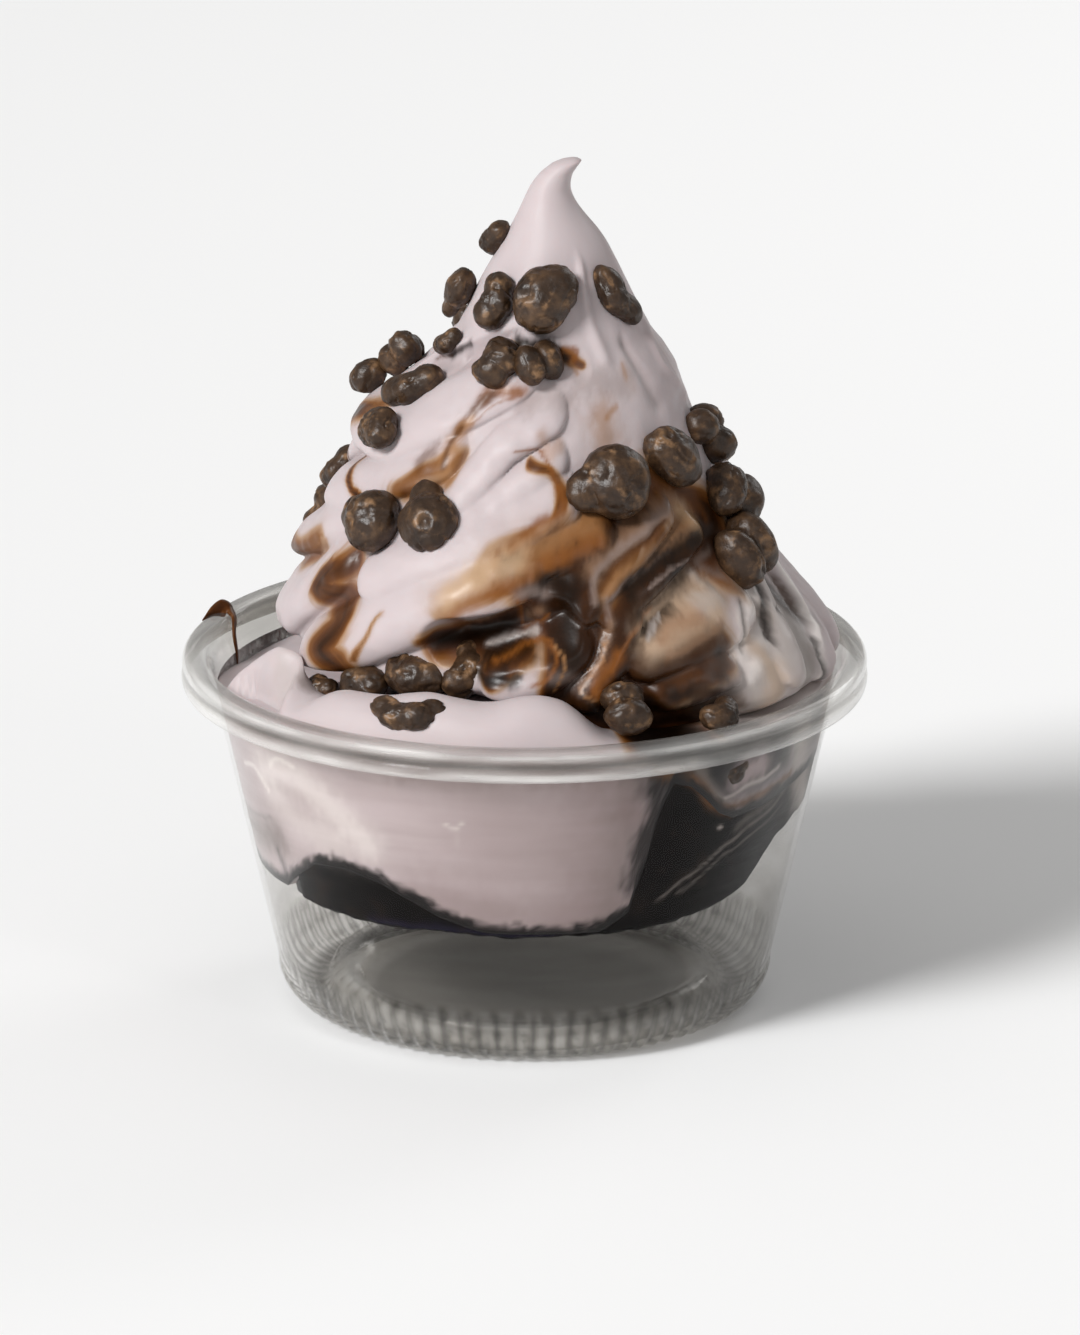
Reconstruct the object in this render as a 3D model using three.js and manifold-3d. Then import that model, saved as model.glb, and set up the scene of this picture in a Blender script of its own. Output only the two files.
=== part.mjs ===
// Brownie ice cream cup: a clear round dessert cup with a dark brownie wedged in its taper, filled with soft
// ice cream that stands above the rim as a swirl with a curled tip, dotted with chocolate-coated nuggets.
// Millimetres, +Z up. The origin is the centre of the cup's foot, on the table. The front faces -Y.
// Angles are in degrees round the cup's axis, 0 at the front (-Y), 90 at the right (+X), -90 at the left.
import * as THREE from "three";
import { mergeVertices } from "three/addons/utils/BufferGeometryUtils.js";
import Module from "manifold-3d";

const wasm = await Module();
wasm.setup();

// ---------- driving dimensions ----------
const WALL_FOOT_RADIUS = 34.0; // outer wall carried down to the table
const WALL_TAPER = 0.226; // outer radius gained per mm of height
const WALL_THICKNESS = 0.7;
const FOOT_RADIUS = 30.6; // outer edge of the flat foot ring
const RIM_RADIUS = 49.0;
const GAP = 0.3; // clearance between touching pieces
const RIB_COUNT = 60;
const RIB_HEIGHT = 0.45;
const CUP_SEGMENTS = 60;
const BROWNIE_BASE = 20.0; // height of the brownie's flat underside
const TIP_HEIGHT = 123.3;
const SWIRL_BOTTOM = 41.0; // where the swirl ends inside the fill
const SWIRL_SEGMENTS = 48; // below the cone
const CONE_SEGMENTS = 24; // on the cone that ends in the tip
const CONE_START = 97.0; // height
const SWIRL_RINGS = 24;
const CONE_RINGS = 10;
const BED_SEGMENTS = 48;
const DROOP = 0.25; // how far a bulge hangs down for each mm it stands out

// ---------- shared functions ----------
const rad = (degrees) => (degrees * Math.PI) / 180;
const clamp01 = (t) => Math.min(1, Math.max(0, t));
const smooth = (t) => clamp01(t) ** 2 * (3 - 2 * clamp01(t));
const wrap = (degrees) => ((((degrees + 180) % 360) + 360) % 360) - 180;

// Straight-line interpolation in a table sorted by its first column.
function tableValue(table, key, column) {
  if (key <= table[0][0]) return table[0][column];
  for (let i = 1; i < table.length; i++) {
    if (key > table[i][0]) continue;
    const t = (key - table[i - 1][0]) / (table[i][0] - table[i - 1][0]);
    return table[i - 1][column] + (table[i][column] - table[i - 1][column]) * t;
  }
  return table[table.length - 1][column];
}

// A point at an angle round the axis, a radius and a height.
function polar(degrees, radius, height) {
  return new THREE.Vector3(radius * Math.sin(rad(degrees)), -radius * Math.cos(rad(degrees)), height);
}

// A closed body from rings of points, with a single point first and last. Neighbouring rings have equal
// counts, or one has twice the points of the other. The rings run upwards on the outside.
function bodyFromRings(rings) {
  const points = [];
  const starts = rings.map((ring) => {
    points.push(...ring);
    return points.length - ring.length;
  });
  const faces = [];
  for (let k = 0; k + 1 < rings.length; k++) {
    const lower = rings[k].length;
    const upper = rings[k + 1].length;
    const a = starts[k];
    const b = starts[k + 1];
    if (lower === 1) {
      for (let i = 0; i < upper; i++) faces.push(a, b + ((i + 1) % upper), b + i);
    } else if (upper === 1) {
      for (let i = 0; i < lower; i++) faces.push(a + i, a + ((i + 1) % lower), b);
    } else if (lower === upper) {
      for (let i = 0; i < lower; i++) {
        const j = (i + 1) % lower;
        faces.push(a + i, a + j, b + j, a + i, b + j, b + i);
      }
    } else if (lower === 2 * upper) {
      for (let i = 0; i < upper; i++) {
        const j = (i + 1) % upper;
        const m = a + 2 * i;
        faces.push(m, m + 1, b + i, m + 1, b + j, b + i, m + 1, a + ((2 * i + 2) % lower), b + j);
      }
    } else {
      for (let i = 0; i < lower; i++) {
        const j = (i + 1) % lower;
        const m = b + 2 * i;
        faces.push(a + i, m + 1, m, a + i, a + j, m + 1, a + j, b + ((2 * i + 2) % upper), m + 1);
      }
    }
  }
  const geometry = new THREE.BufferGeometry().setFromPoints(points);
  geometry.setIndex(faces);
  return geometry;
}

// ---------- solids for joining and cutting ----------
function toSolid(geometry) {
  const bare = geometry.clone();
  bare.deleteAttribute("normal");
  bare.deleteAttribute("uv");
  const merged = mergeVertices(bare, 1e-3);
  return new wasm.Manifold(
    new wasm.Mesh({
      numProp: 3,
      vertProperties: new Float32Array(merged.attributes.position.array),
      triVerts: new Uint32Array(merged.index.array),
    }),
  );
}

function toGeometry(solid) {
  const mesh = solid.getMesh();
  const positions = new Float32Array(mesh.numVert * 3);
  for (let i = 0; i < mesh.numVert; i++) {
    positions.set(mesh.vertProperties.subarray(i * mesh.numProp, i * mesh.numProp + 3), i * 3);
  }
  const geometry = new THREE.BufferGeometry();
  geometry.setAttribute("position", new THREE.BufferAttribute(positions, 3));
  geometry.setIndex(new THREE.BufferAttribute(new Uint32Array(mesh.triVerts), 1));
  geometry.computeVertexNormals();
  return geometry;
}

const largestBody = (solid) => solid.decompose().sort((a, b) => b.volume() - a.volume())[0];

// ---------- the swirl ----------
// height, radius, sideways shift of the axis
const CORE = [
  [38, 30, 2], [46, 33.5, 2.4], [52, 35, 2.4], [58, 34.2, 2.2], [64, 32.2, 1.8], [72, 28.8, 1.2],
  [80, 24.6, 1.2], [88, 20.4, 2], [92, 17.9, 3], [95, 15.9, 3.9], [98, 13.9, 4.2], [102, 11.9, 4.1],
  [106, 10.1, 4.1], [112, 6.9, 4.3], [116, 4.2, 3.6], [118, 3.2, 3.4], [119.5, 2.75, 3.7],
  [121.1, 2.3, 4.5], [122.4, 1.95, 5.75], [122.9, 1.6, 6.5], [TIP_HEIGHT, 0.5, 7],
];

// Each strand that lies on the swirl: half width, lift at its start, lift at its end, and its path as
// [angle, height].
const STRANDS = [
  { half: 5.0, from: 4.6, to: 1.6, path: [[-104, 86.5], [-61, 86.9], [-37, 92.5], [-19, 96.8]] },
  { half: 3.6, from: 3.0, to: 1.6, path: [[-84, 76.5], [-58, 80.1], [-35, 85.1]] },
  { half: 2.9, from: 2.2, to: 1.8, path: [[-24, 80.6], [-13, 87.2], [3, 91.0]] },
  { half: 2.6, from: 1.8, to: 1.8, path: [[-20, 77.5], [-2, 83.1], [6, 85.4]] },
  { half: 3.7, from: 3.0, to: 2.4, path: [[-45, 68.3], [-26, 73.1], [-6, 77.3], [9, 80.4]] },
  { half: 5.0, from: 3.8, to: 3.0, path: [[-60, 56.6], [-48, 60.5], [-24, 67.5], [-4, 71.8]] },
  { half: 3.8, from: 4.3, to: 2.0, path: [[-106, 66], [-81, 70.6], [-64, 75.5]] },
  { half: 4.4, from: 3.4, to: 2.2, path: [[-110, 55.5], [-81, 59.4], [-62, 68.1]] },
  { half: 3.0, from: 2.4, to: 2.2, path: [[-3, 72.3], [20, 75.9]] },
  { half: 2.7, from: 2.0, to: 2.0, path: [[12, 67.0], [24, 71.7], [41, 77.8]] },
  { half: 2.4, from: 1.8, to: 1.8, path: [[19, 65.7], [32, 69.4], [50, 74.3]] },
  { half: 2.6, from: 2.2, to: 2.0, path: [[11, 54.9], [19, 61.0], [23, 65.2]] },
  { half: 3.4, from: 2.6, to: 2.2, path: [[25, 59.6], [39, 62.2], [56, 64.5]] },
  { half: 2.8, from: 2.0, to: 1.8, path: [[29, 54.4], [42, 57.7]] },
  { half: 4.0, from: 2.6, to: 2.2, path: [[-8, 56.6], [-1, 58.2], [7, 62.0]] },
  { half: 2.6, from: 1.8, to: 1.6, path: [[2, 66.7], [18, 73.0]] },
  { half: 2.6, from: 1.8, to: 1.8, path: [[60, 56], [70, 66], [76, 72]] },
  { half: 2.4, from: 1.6, to: 1.8, path: [[76, 52], [84, 62], [92, 68]] },
  { half: 3.0, from: 1.8, to: 1.8, path: [[92, 50], [100, 60], [112, 66]] },
];

// The back of the swirl: tiers of strands that carry on the climb of the front ones.
const BACK_TIERS = [
  { height: 55.0, half: 4.8, lift: 3.2 },
  { height: 65.5, half: 4.4, lift: 3.0 },
  { height: 76.0, half: 4.0, lift: 2.8 },
  { height: 86.0, half: 3.6, lift: 2.2 },
];
const BACK_STRANDS_PER_TIER = 4;
BACK_TIERS.forEach(({ height, half, lift }, tier) => {
  for (let k = 0; k < BACK_STRANDS_PER_TIER; k++) {
    const angle = 112 + 13 * (tier % 2) + 40 * k;
    const start = height + 1.6 * Math.sin(1.7 * k + tier);
    const path = [[angle, start], [angle + 24, start + 3.6], [angle + 46, start + 8.4]];
    STRANDS.push({ half, from: lift, to: lift * 0.6, path });
  }
});

// Folds pressed into the swirl, laid out as the strands are: depths in place of lifts.
const FOLDS = [
  { half: 2.6, from: 2.4, to: 0.8, path: [[-80, 93.5], [-59, 95.8], [-43, 97.8], [-23, 99.1], [13, 96.5]] },
  { half: 4.4, from: 5.5, to: 3.0, path: [[-21, 62.0], [-9, 63.0], [4, 65.1]] },
];

// Distance in mm on the unrolled surface from a place to a path, and how far along the path (0 to 1) the
// nearest point is.
function pathDistance(angle, height, path) {
  const middle = path[path.length >> 1][0];
  const meanHeight = path.reduce((sum, p) => sum + p[1], 0) / path.length;
  const radius = tableValue(CORE, meanHeight, 1) + 2;
  const across = rad(wrap(angle - middle)) * radius;
  const points = path.map(([a, h]) => [rad(a - middle) * radius, h]);
  const lengths = points.slice(1).map((p, i) => Math.hypot(p[0] - points[i][0], p[1] - points[i][1]));
  const total = lengths.reduce((sum, l) => sum + l, 0);
  let best = { distance: Infinity, along: 0 };
  let done = 0;
  lengths.forEach((length, i) => {
    const ux = (points[i + 1][0] - points[i][0]) / length;
    const uz = (points[i + 1][1] - points[i][1]) / length;
    const raw = (across - points[i][0]) * ux + (height - points[i][1]) * uz;
    const t = Math.min(length, Math.max(0, raw));
    const distance = Math.hypot(across - points[i][0] - t * ux, height - points[i][1] - t * uz);
    if (distance < best.distance) best = { distance, along: (done + t) / total };
    done += length;
  });
  return best;
}

function strandLift(angle, height) {
  let sum = 0;
  for (const { half, from, to, path } of STRANDS) {
    const { distance, along } = pathDistance(angle, height, path);
    if (distance >= half) continue;
    const section = (1 - (distance / half) ** 2) ** 0.62;
    sum += ((from + (to - from) * along) * section) ** 5;
  }
  return sum ** 0.2;
}

function foldDepth(angle, height) {
  let depth = 0;
  for (const { half, from, to, path } of FOLDS) {
    const { distance, along } = pathDistance(angle, height, path);
    if (distance >= half) continue;
    const section = (1 - (distance / half) ** 2) ** 1.5;
    depth = Math.max(depth, (from + (to - from) * along) * section);
  }
  return depth;
}

// How far the bottom of the swirl is drawn in: at the left front and the back, and not at the right.
function undercut(angle) {
  const a = wrap(angle);
  const left = smooth((a + 118) / 25) * smooth((2 - a) / 22);
  const back = smooth((Math.abs(a) - 128) / 20);
  return Math.max(left, 0.35 * back);
}

// The skirt at the right, where the swirl runs out to the wall of the cup.
const skirt = (angle) => smooth((wrap(angle) - 22) / 35) * smooth((138 - wrap(angle)) / 35);

function swirlRadius(angle, height) {
  const wave = 0.35 * Math.sin(rad(3 * angle) + 0.22 * height) * smooth((100 - height) / 25);
  const drawnIn = undercut(angle) * 7.5 * smooth((55.5 - height) / 4.0);
  const fan = smooth((99 - height) / 6) + 5.4 * smooth((66 - height) / 12) * smooth((height - 46) / 8);
  const relief = strandLift(angle, height) - foldDepth(angle, height) + wave;
  return tableValue(CORE, height, 1) + relief - drawnIn + skirt(angle) * fan;
}

// A point of the swirl's surface, or of the same surface grown by some distance.
function swirlPoint(angle, height, grow = 0) {
  const radius = swirlRadius(angle, height);
  const lift = Math.max(0, radius - tableValue(CORE, height, 1));
  const droop = DROOP * lift * smooth((height - 44) / 8) * smooth((118 - height) / 10);
  const p = polar(angle, radius + grow, height - droop);
  p.x += tableValue(CORE, height, 2);
  return p;
}

// Outward direction of the swirl's surface.
function swirlNormal(angle, height) {
  const along = swirlPoint(angle + 4, height).sub(swirlPoint(angle - 4, height));
  const up = swirlPoint(angle, height + 1.5).sub(swirlPoint(angle, height - 1.5));
  return along.cross(up).normalize();
}

function swirlGeometry(grow = 0) {
  const rings = [[new THREE.Vector3(2, 0, SWIRL_BOTTOM - grow)]];
  const addRing = (count, height) => {
    rings.push(Array.from({ length: count }, (_, i) => swirlPoint((i * 360) / count, height, grow)));
  };
  for (let k = 0; k < SWIRL_RINGS; k++) {
    addRing(SWIRL_SEGMENTS, SWIRL_BOTTOM + ((CONE_START - SWIRL_BOTTOM) * k) / SWIRL_RINGS);
  }
  for (let k = 0; k < CONE_RINGS; k++) {
    const share = k / (CONE_RINGS - 1);
    addRing(CONE_SEGMENTS, CONE_START + (TIP_HEIGHT - 0.1 - CONE_START) * (1 - (1 - share) ** 1.3));
  }
  rings.push([swirlPoint(0, TIP_HEIGHT).setZ(TIP_HEIGHT + grow)]);
  return bodyFromRings(rings);
}

// ---------- the fill inside the cup ----------
const innerRadius = (height) => WALL_FOOT_RADIUS - WALL_THICKNESS + WALL_TAPER * height;

// angle, height at the wall, height of the crest, radius of the crest, height of the valley inside it
const BED = [
  [-180, 46, 47, 38, 46.5], [-135, 44, 45, 38, 44.5], [-112, 43.6, 44.6, 38, 44.2],
  [-92, 45.6, 46.6, 38.5, 45.8], [-79, 46.4, 47.3, 38.5, 46.8], [-71, 48.4, 54.4, 38.5, 49],
  [-61.5, 48.8, 57.3, 38.5, 50], [-54.5, 48.6, 53.9, 38.5, 50.4], [-50.5, 48.4, 50.8, 38.5, 50.2],
  [-43, 48.6, 53.8, 38.5, 51.2], [-30.5, 48.6, 54.4, 38.5, 52], [-19.5, 48.6, 56.1, 38.5, 52.6],
  [-7.5, 48.6, 54.9, 38.5, 52.4], [1.5, 48.6, 56.2, 38.5, 52.4], [6.5, 48.6, 55.8, 38.5, 52],
  [10.5, 48.6, 54.4, 38.5, 51], [16, 48.4, 50.3, 38.5, 49.6], [24, 48.2, 49.4, 38.5, 49],
  [34, 47.8, 49, 38, 48.5], [55, 47.5, 49, 38, 48.5], [75, 48.5, 50.5, 38, 50], [100, 50, 52.5, 38, 52],
  [130, 47.8, 50, 38, 49.5], [180, 46, 47, 38, 46.5],
];
const BED_EDGE_RADIUS = 44.0;
const BED_CENTRE_HEIGHT = 50.0;

function bedTop(angle, radius) {
  const a = wrap(angle);
  const wall = tableValue(BED, a, 1);
  const crest = tableValue(BED, a, 2);
  const crestRadius = tableValue(BED, a, 3);
  const valley = tableValue(BED, a, 4);
  if (radius > crestRadius) {
    const out = clamp01((radius - crestRadius) / (BED_EDGE_RADIUS - crestRadius));
    return wall + (crest - wall) * Math.sqrt(1 - out ** 2);
  }
  return crest - (crest - valley) * smooth((crestRadius - radius) / 5.5);
}

// The brownie along the wall: angle, height of its lower edge, height of its top, how far it stands back
// from the wall. It is a low crumbled edge at the left front, a thin edge at the centre front, and a chunk at
// the right that stands up nearly to the rim and is broken away below. At the left the ice cream runs down
// past it.
const BROWNIE_EDGE = [
  [-180, 20, 30.5, 0.3], [-150, 20, 28, 0.3], [-120, 20, 24.5, 0.8], [-96, 20.3, 22.6, 4],
  [-68, 20.3, 22.6, 4], [-61, 20.2, 22.8, 1.2], [-55, 20.2, 25.6, 0.3], [-48, 20.2, 28.6, 0.3],
  [-39, 20.2, 29.3, 0.3], [-31, 20.2, 28.3, 0.3], [-24, 20.2, 26.2, 0.3], [-18, 20.2, 24.2, 0.3],
  [-11, 20.2, 22.6, 0.3], [-5, 20.1, 21.7, 0.3], [8, 20, 21.4, 0.3], [16, 20, 21.8, 0.3],
  [22, 20, 24.5, 0.3], [25, 20, 33, 0.3], [26.5, 20, 40, 0.3], [29, 20, 44.2, 0.3],
  [33, 20.2, 43.2, 0.3], [37, 20.6, 40.6, 0.3], [41, 21, 37.8, 0.3], [45, 21.4, 36.4, 0.3],
  [54, 22.8, 36.6, 0.3], [58, 25.8, 37, 0.3], [62, 28.2, 37.3, 0.3], [70, 29.6, 38, 0.3],
  [95, 30, 38.5, 0.3], [112, 27.5, 38.5, 0.3], [130, 23, 36, 0.3], [150, 20, 32.5, 0.3],
  [180, 20, 30.5, 0.3],
];
const BROWNIE_SEGMENTS = 48;
const BROWNIE_EDGE_INSET = 0.9; // rounding of the lower corner
const BROWNIE_MIDDLE = 32.0; // height of its top in the middle
// The brownie's top at a part of the way out from the axis (0 to 1), with a crumbly surface.
function brownieTop(angle, share) {
  const edge = tableValue(BROWNIE_EDGE, wrap(angle), 2);
  const crumbs = 0.5 * Math.sin(rad(7 * angle)) * Math.sin(9 * share + 1);
  const between = THREE.MathUtils.lerp(BROWNIE_MIDDLE, edge, smooth(share));
  return between + crumbs * smooth(share * 2) * smooth((1 - share) * 4);
}

// The brownie, or the space it takes out of the fill: that is grown upwards, and outwards past the wall.
function brownieGeometry(grow = 0) {
  const spread = 5 * grow; // degrees to each side, for the steep side of the chunk
  const top = (angle, share) => {
    const nearby = [-spread, 0, spread].map((d) => brownieTop(angle + d, share));
    return Math.max(...nearby) + grow;
  };
  const bottom = (angle) => tableValue(BROWNIE_EDGE, wrap(angle), 1) - 3 * grow;
  const reach = (angle, height) => {
    const inset = tableValue(BROWNIE_EDGE, wrap(angle), 3);
    return innerRadius(height) - inset + (inset > 2 ? grow : 4 * grow);
  };
  const ringAt = (radiusAt, heightAt) => {
    const ring = [];
    for (let i = 0; i < BROWNIE_SEGMENTS; i++) {
      const angle = (i * 360) / BROWNIE_SEGMENTS;
      const height = heightAt(angle);
      ring.push(polar(angle, radiusAt(angle, height), height));
    }
    return ring;
  };
  const rings = [[new THREE.Vector3(0, 0, BROWNIE_BASE - 3 * grow)]];
  const underside = (a) => BROWNIE_BASE + 0.1 * (bottom(a) - BROWNIE_BASE);
  rings.push(ringAt(() => 0.78 * innerRadius(BROWNIE_BASE), underside));
  rings.push(ringAt((a, h) => reach(a, h) - BROWNIE_EDGE_INSET, bottom));
  rings.push(ringAt(reach, (a) => bottom(a) + 0.7));
  rings.push(ringAt(reach, (a) => top(a, 1)));
  for (const share of [0.92, 0.78, 0.55, 0.3]) {
    rings.push(ringAt((a) => share * reach(a, top(a, 1)), (a) => top(a, share)));
  }
  rings.push([new THREE.Vector3(0, 0, top(0, 0))]);
  return bodyFromRings(rings);
}

// The fill between the walls of the cup, up to the bed's surface. The brownie is cut out of it afterwards.
function fillGeometry(grow = 0) {
  const angles = Array.from({ length: BED_SEGMENTS }, (_, i) => (i * 360) / BED_SEGMENTS);
  const reach = (height) => innerRadius(height) - GAP;
  // lower edge at the wall: it follows the brownie's lower edge, and hangs past it at the left
  const hang = (angle) => smooth((30 - Math.abs(wrap(angle) + 82)) / 10);
  const lower = (angle) => tableValue(BROWNIE_EDGE, wrap(angle), 1) + 0.8 - 1.4 * hang(angle);
  const rings = [[new THREE.Vector3(0, 0, BROWNIE_BASE + 2)]];
  rings.push(angles.map((a) => polar(a, reach(20) - 3.4, lower(a) + 0.4)));
  rings.push(angles.map((a) => polar(a, reach(lower(a)) - 0.6, lower(a))));
  rings.push(angles.map((a) => polar(a, reach(lower(a) + 0.8), lower(a) + 0.8)));
  rings.push(angles.map((a) => polar(a, reach(43.0), 43.0)));
  for (const radius of [44.0, 42.4, 40.6, 38.6, 37.0, 35.2, 33.0, 29.0]) {
    rings.push(
      angles.map((a) => {
        const height = bedTop(a, radius);
        return polar(a, Math.min(radius, reach(height)), height + grow);
      }),
    );
  }
  rings.push([new THREE.Vector3(0, 0, BED_CENTRE_HEIGHT + grow)]);
  return bodyFromRings(rings);
}

// The space inside the cup that its contents may use, up past the rim.
function insideGeometry() {
  const angles = Array.from({ length: CUP_SEGMENTS }, (_, i) => (i * 360) / CUP_SEGMENTS);
  const sides = [5, 60].map((height) => angles.map((a) => polar(a, innerRadius(height) - GAP, height)));
  return bodyFromRings([[new THREE.Vector3(0, 0, 5)], ...sides, [new THREE.Vector3(0, 0, 60)]]);
}

// ---------- the cup ----------
// Half section as [radius, height], from the middle of the underside, up the outside, over the rim and down
// the inside to the middle of the floor. The floor steps up to a ring and down to a flat middle.
const wallOuter = (height) => [WALL_FOOT_RADIUS + WALL_TAPER * height, height];
const wallInner = (height) => [innerRadius(height), height];
const CUP_SECTION = [
  [0, 1.3], [23.2, 1.3], [25.4, 3.9], [27.0, 3.9], [28.2, 0], [FOOT_RADIUS, 0], [32.6, 0.9], [34.1, 2.4],
  [34.95, 4.4], wallOuter(7.0), wallOuter(44.0), [45.3, 49.4], [47.6, 49.9], [47.7, 48.3], [48.1, 46.4],
  [48.8, 46.5], [RIM_RADIUS, 47.8], [48.4, 48.7], [RIM_RADIUS, 49.6], [48.3, 51.0], [46.5, 51.2],
  [45.2, 50.6], [44.1, 46.9], wallInner(43.6), wallInner(7.2), [34.2, 4.8], [32.8, 2.0], [30.4, 0.7],
  [28.7, 0.7], [27.5, 4.6], [25.0, 4.6], [22.8, 2.0], [0, 2.0],
];
const RIBBED_FROM = 6; // the section points between which the ribs stand on the heel
const RIBBED_TO = 8;

function cupGeometry() {
  const rings = CUP_SECTION.map(([radius, height], k) => {
    if (radius === 0) return [new THREE.Vector3(0, 0, height)];
    const ribbed = k >= RIBBED_FROM && k <= RIBBED_TO;
    const count = ribbed ? 2 * RIB_COUNT : CUP_SEGMENTS;
    const ring = [];
    for (let i = 0; i < count; i++) {
      const rib = ribbed && i % 2 ? RIB_HEIGHT : 0;
      ring.push(polar((i * 360) / count, radius + rib * 0.8, height - rib * 0.5));
    }
    return ring;
  });
  return bodyFromRings(rings);
}

// ---------- the nuggets ----------
// On the swirl: angle, height, length, width, tilt of the long way from level (degrees), lobes.
const SWIRL_NUGGETS = [
  [-98.5, 110.7, 6.6, 4.6, 50, 2], [-96, 102.3, 8.4, 5, 60, 2], [-43, 104.3, 7.9, 5.4, 88, 1],
  [-6, 105.4, 9.8, 8.2, 70, 1], [49.5, 104.7, 9.6, 4.8, -68, 2], [-27, 97, 7.3, 6.2, 90, 1],
  [-9.5, 97, 6.9, 5.8, 10, 2], [-72.5, 97.6, 5.5, 3.4, 45, 1], [-104, 92, 7.2, 6.4, 60, 3],
  [-106, 88.7, 6.6, 5.4, 30, 2], [-68.5, 91.3, 9.3, 5.2, 52, 1], [-62.5, 87, 6.6, 6, 20, 1],
  [-106, 75.2, 7, 4.6, 80, 2], [-52.5, 75.1, 9.9, 8.6, -10, 2], [-32, 76.9, 10.5, 8.2, -62, 1],
  [24, 81.6, 11.6, 10, 10, 2], [51, 83.8, 9.5, 7.2, -50, 1], [82.5, 84, 9.6, 7.2, -60, 3],
  [73, 76, 9, 8, -45, 2], [66, 69.1, 9.5, 9, 20, 2],
  // round the back, where they lie as thickly as at the front
  [128, 72, 9.2, 7.6, 25, 2], [150, 79.5, 8.4, 7, -40, 1], [172, 70.5, 10.2, 8, 15, 2],
  [138, 88.5, 7.4, 6.2, 70, 1], [196, 86, 9, 6, -55, 2], [214, 74, 8.6, 7.4, 35, 1],
  [160, 97.5, 7, 5.4, 80, 2], [228, 96, 7.6, 5, 20, 1], [236, 66, 9.4, 7.8, -20, 3],
];
// On the fill, between the swirl and the rim: centre, length, width, tilt, lobes.
const FILL_NUGGETS = [
  [-22.4, -24.9, 53.7, 7.2, 5.8, 20, 1], [-15.2, -28.6, 56, 9.2, 6.4, 0, 1],
  [-7.8, -29.4, 57.2, 8.9, 6, 80, 2], [-16.4, -38.7, 53.6, 10.6, 5, 4, 2],
  [14.3, -37.3, 54, 7.6, 6.7, 80, 2], [27.6, -33.2, 51.6, 6, 4.6, 10, 1],
  [-28.6, -21, 51.6, 5.5, 4, 0, 1],
];
// Sunk in the fill against the wall, below the rim: angle, height, length, width, tilt, lobes.
const SUNK_NUGGET = [44, 42.6, 5.4, 3.8, 6, 1];
const NUGGET_FLATNESS = 0.82; // thickness over width
const NUGGET_STAND_OFF = 0.2; // centre above the surface, as a share of the width
const PROUD_NUGGETS = [2, 9, 10]; // these lie loosely on the side, and stand further out
const PROUD_STAND_OFF = 0.4;

// Soft ball with one to three lobes along its length.
function nuggetGeometry(length, width, lobes, seed) {
  const geometry = mergeVertices(bareBall());
  const position = geometry.attributes.position;
  const half = new THREE.Vector3(length / 2, width / 2, (width * NUGGET_FLATNESS) / 2);
  const v = new THREE.Vector3();
  for (let i = 0; i < position.count; i++) {
    v.fromBufferAttribute(position, i);
    const waist = lobes === 1 ? 0 : 0.2 * Math.exp(-((v.x - 0.12 * Math.sin(seed)) ** 2) / 0.05);
    const notch = lobes === 3 ? 0.16 * Math.exp(-((v.y - 0.5) ** 2 + (v.x + 0.5) ** 2) / 0.12) : 0;
    const ripple = Math.sin(4.1 * v.x + seed) * Math.sin(3.7 * v.y + 1.3 * seed);
    const scale = 1 - notch + 0.07 * ripple + 0.05 * Math.sin(5 * v.z + seed);
    const lean = 1 + 0.12 * Math.sin(seed * 1.7) * v.x;
    const girth = scale * (1 - waist) * lean;
    position.setXYZ(i, v.x * half.x * scale, v.y * half.y * girth, v.z * half.z * girth);
  }
  return geometry;
}

function bareBall() {
  const ball = new THREE.IcosahedronGeometry(1, 1);
  ball.deleteAttribute("normal");
  ball.deleteAttribute("uv");
  return ball;
}

// Places a nugget: its flat side against the surface whose outward direction is given, tilted in that plane.
function placed(geometry, centre, normal, tilt) {
  const level = new THREE.Vector3(0, 0, 1).cross(normal).normalize();
  const rise = normal.clone().cross(level);
  const long = level.clone().multiplyScalar(Math.cos(rad(tilt))).addScaledVector(rise, Math.sin(rad(tilt)));
  const basis = new THREE.Matrix4().makeBasis(long, normal.clone().cross(long), normal);
  return geometry.applyMatrix4(basis.setPosition(centre));
}

const nuggets = [];
SWIRL_NUGGETS.forEach(([angle, height, length, width, tilt, lobes], i) => {
  const normal = swirlNormal(angle, height);
  const standOff = PROUD_NUGGETS.includes(i + 1) ? PROUD_STAND_OFF : NUGGET_STAND_OFF;
  const centre = swirlPoint(angle, height).addScaledVector(normal, standOff * width);
  nuggets.push({ length, width, lobes, centre, normal, tilt, seed: i + 1 });
});
FILL_NUGGETS.forEach(([x, y, z, length, width, tilt, lobes], i) => {
  const normal = new THREE.Vector3(x, y, 55).normalize();
  nuggets.push({ length, width, lobes, centre: new THREE.Vector3(x, y, z), normal, tilt, seed: i + 41 });
});

// ---------- assembly ----------
const material = (color, roughness, extra = {}) =>
  new THREE.MeshStandardMaterial({ color, roughness, ...extra });
const CLEAR = material(0xc9cbc8, 0.12, { transparent: true, opacity: 0.35 });
const ICE_CREAM = material(0xd9cdcf, 0.42);
const BROWNIE = material(0x2a2220, 0.6);
const NUGGET = material(0x3c3128, 0.45);

const group = new THREE.Group();
function addMesh(name, geometry, look) {
  geometry.computeVertexNormals();
  const mesh = new THREE.Mesh(geometry, look);
  mesh.name = name;
  group.add(mesh);
}

addMesh("cup", cupGeometry(), CLEAR);
addMesh("brownie", brownieGeometry(), BROWNIE);

const brownieSpace = toSolid(brownieGeometry(GAP));
const inside = toSolid(insideGeometry());
const iceCream = toSolid(swirlGeometry()).add(toSolid(fillGeometry())).subtract(brownieSpace);
const grownIceCream = toSolid(swirlGeometry(GAP)).add(toSolid(fillGeometry(GAP)));

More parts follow.
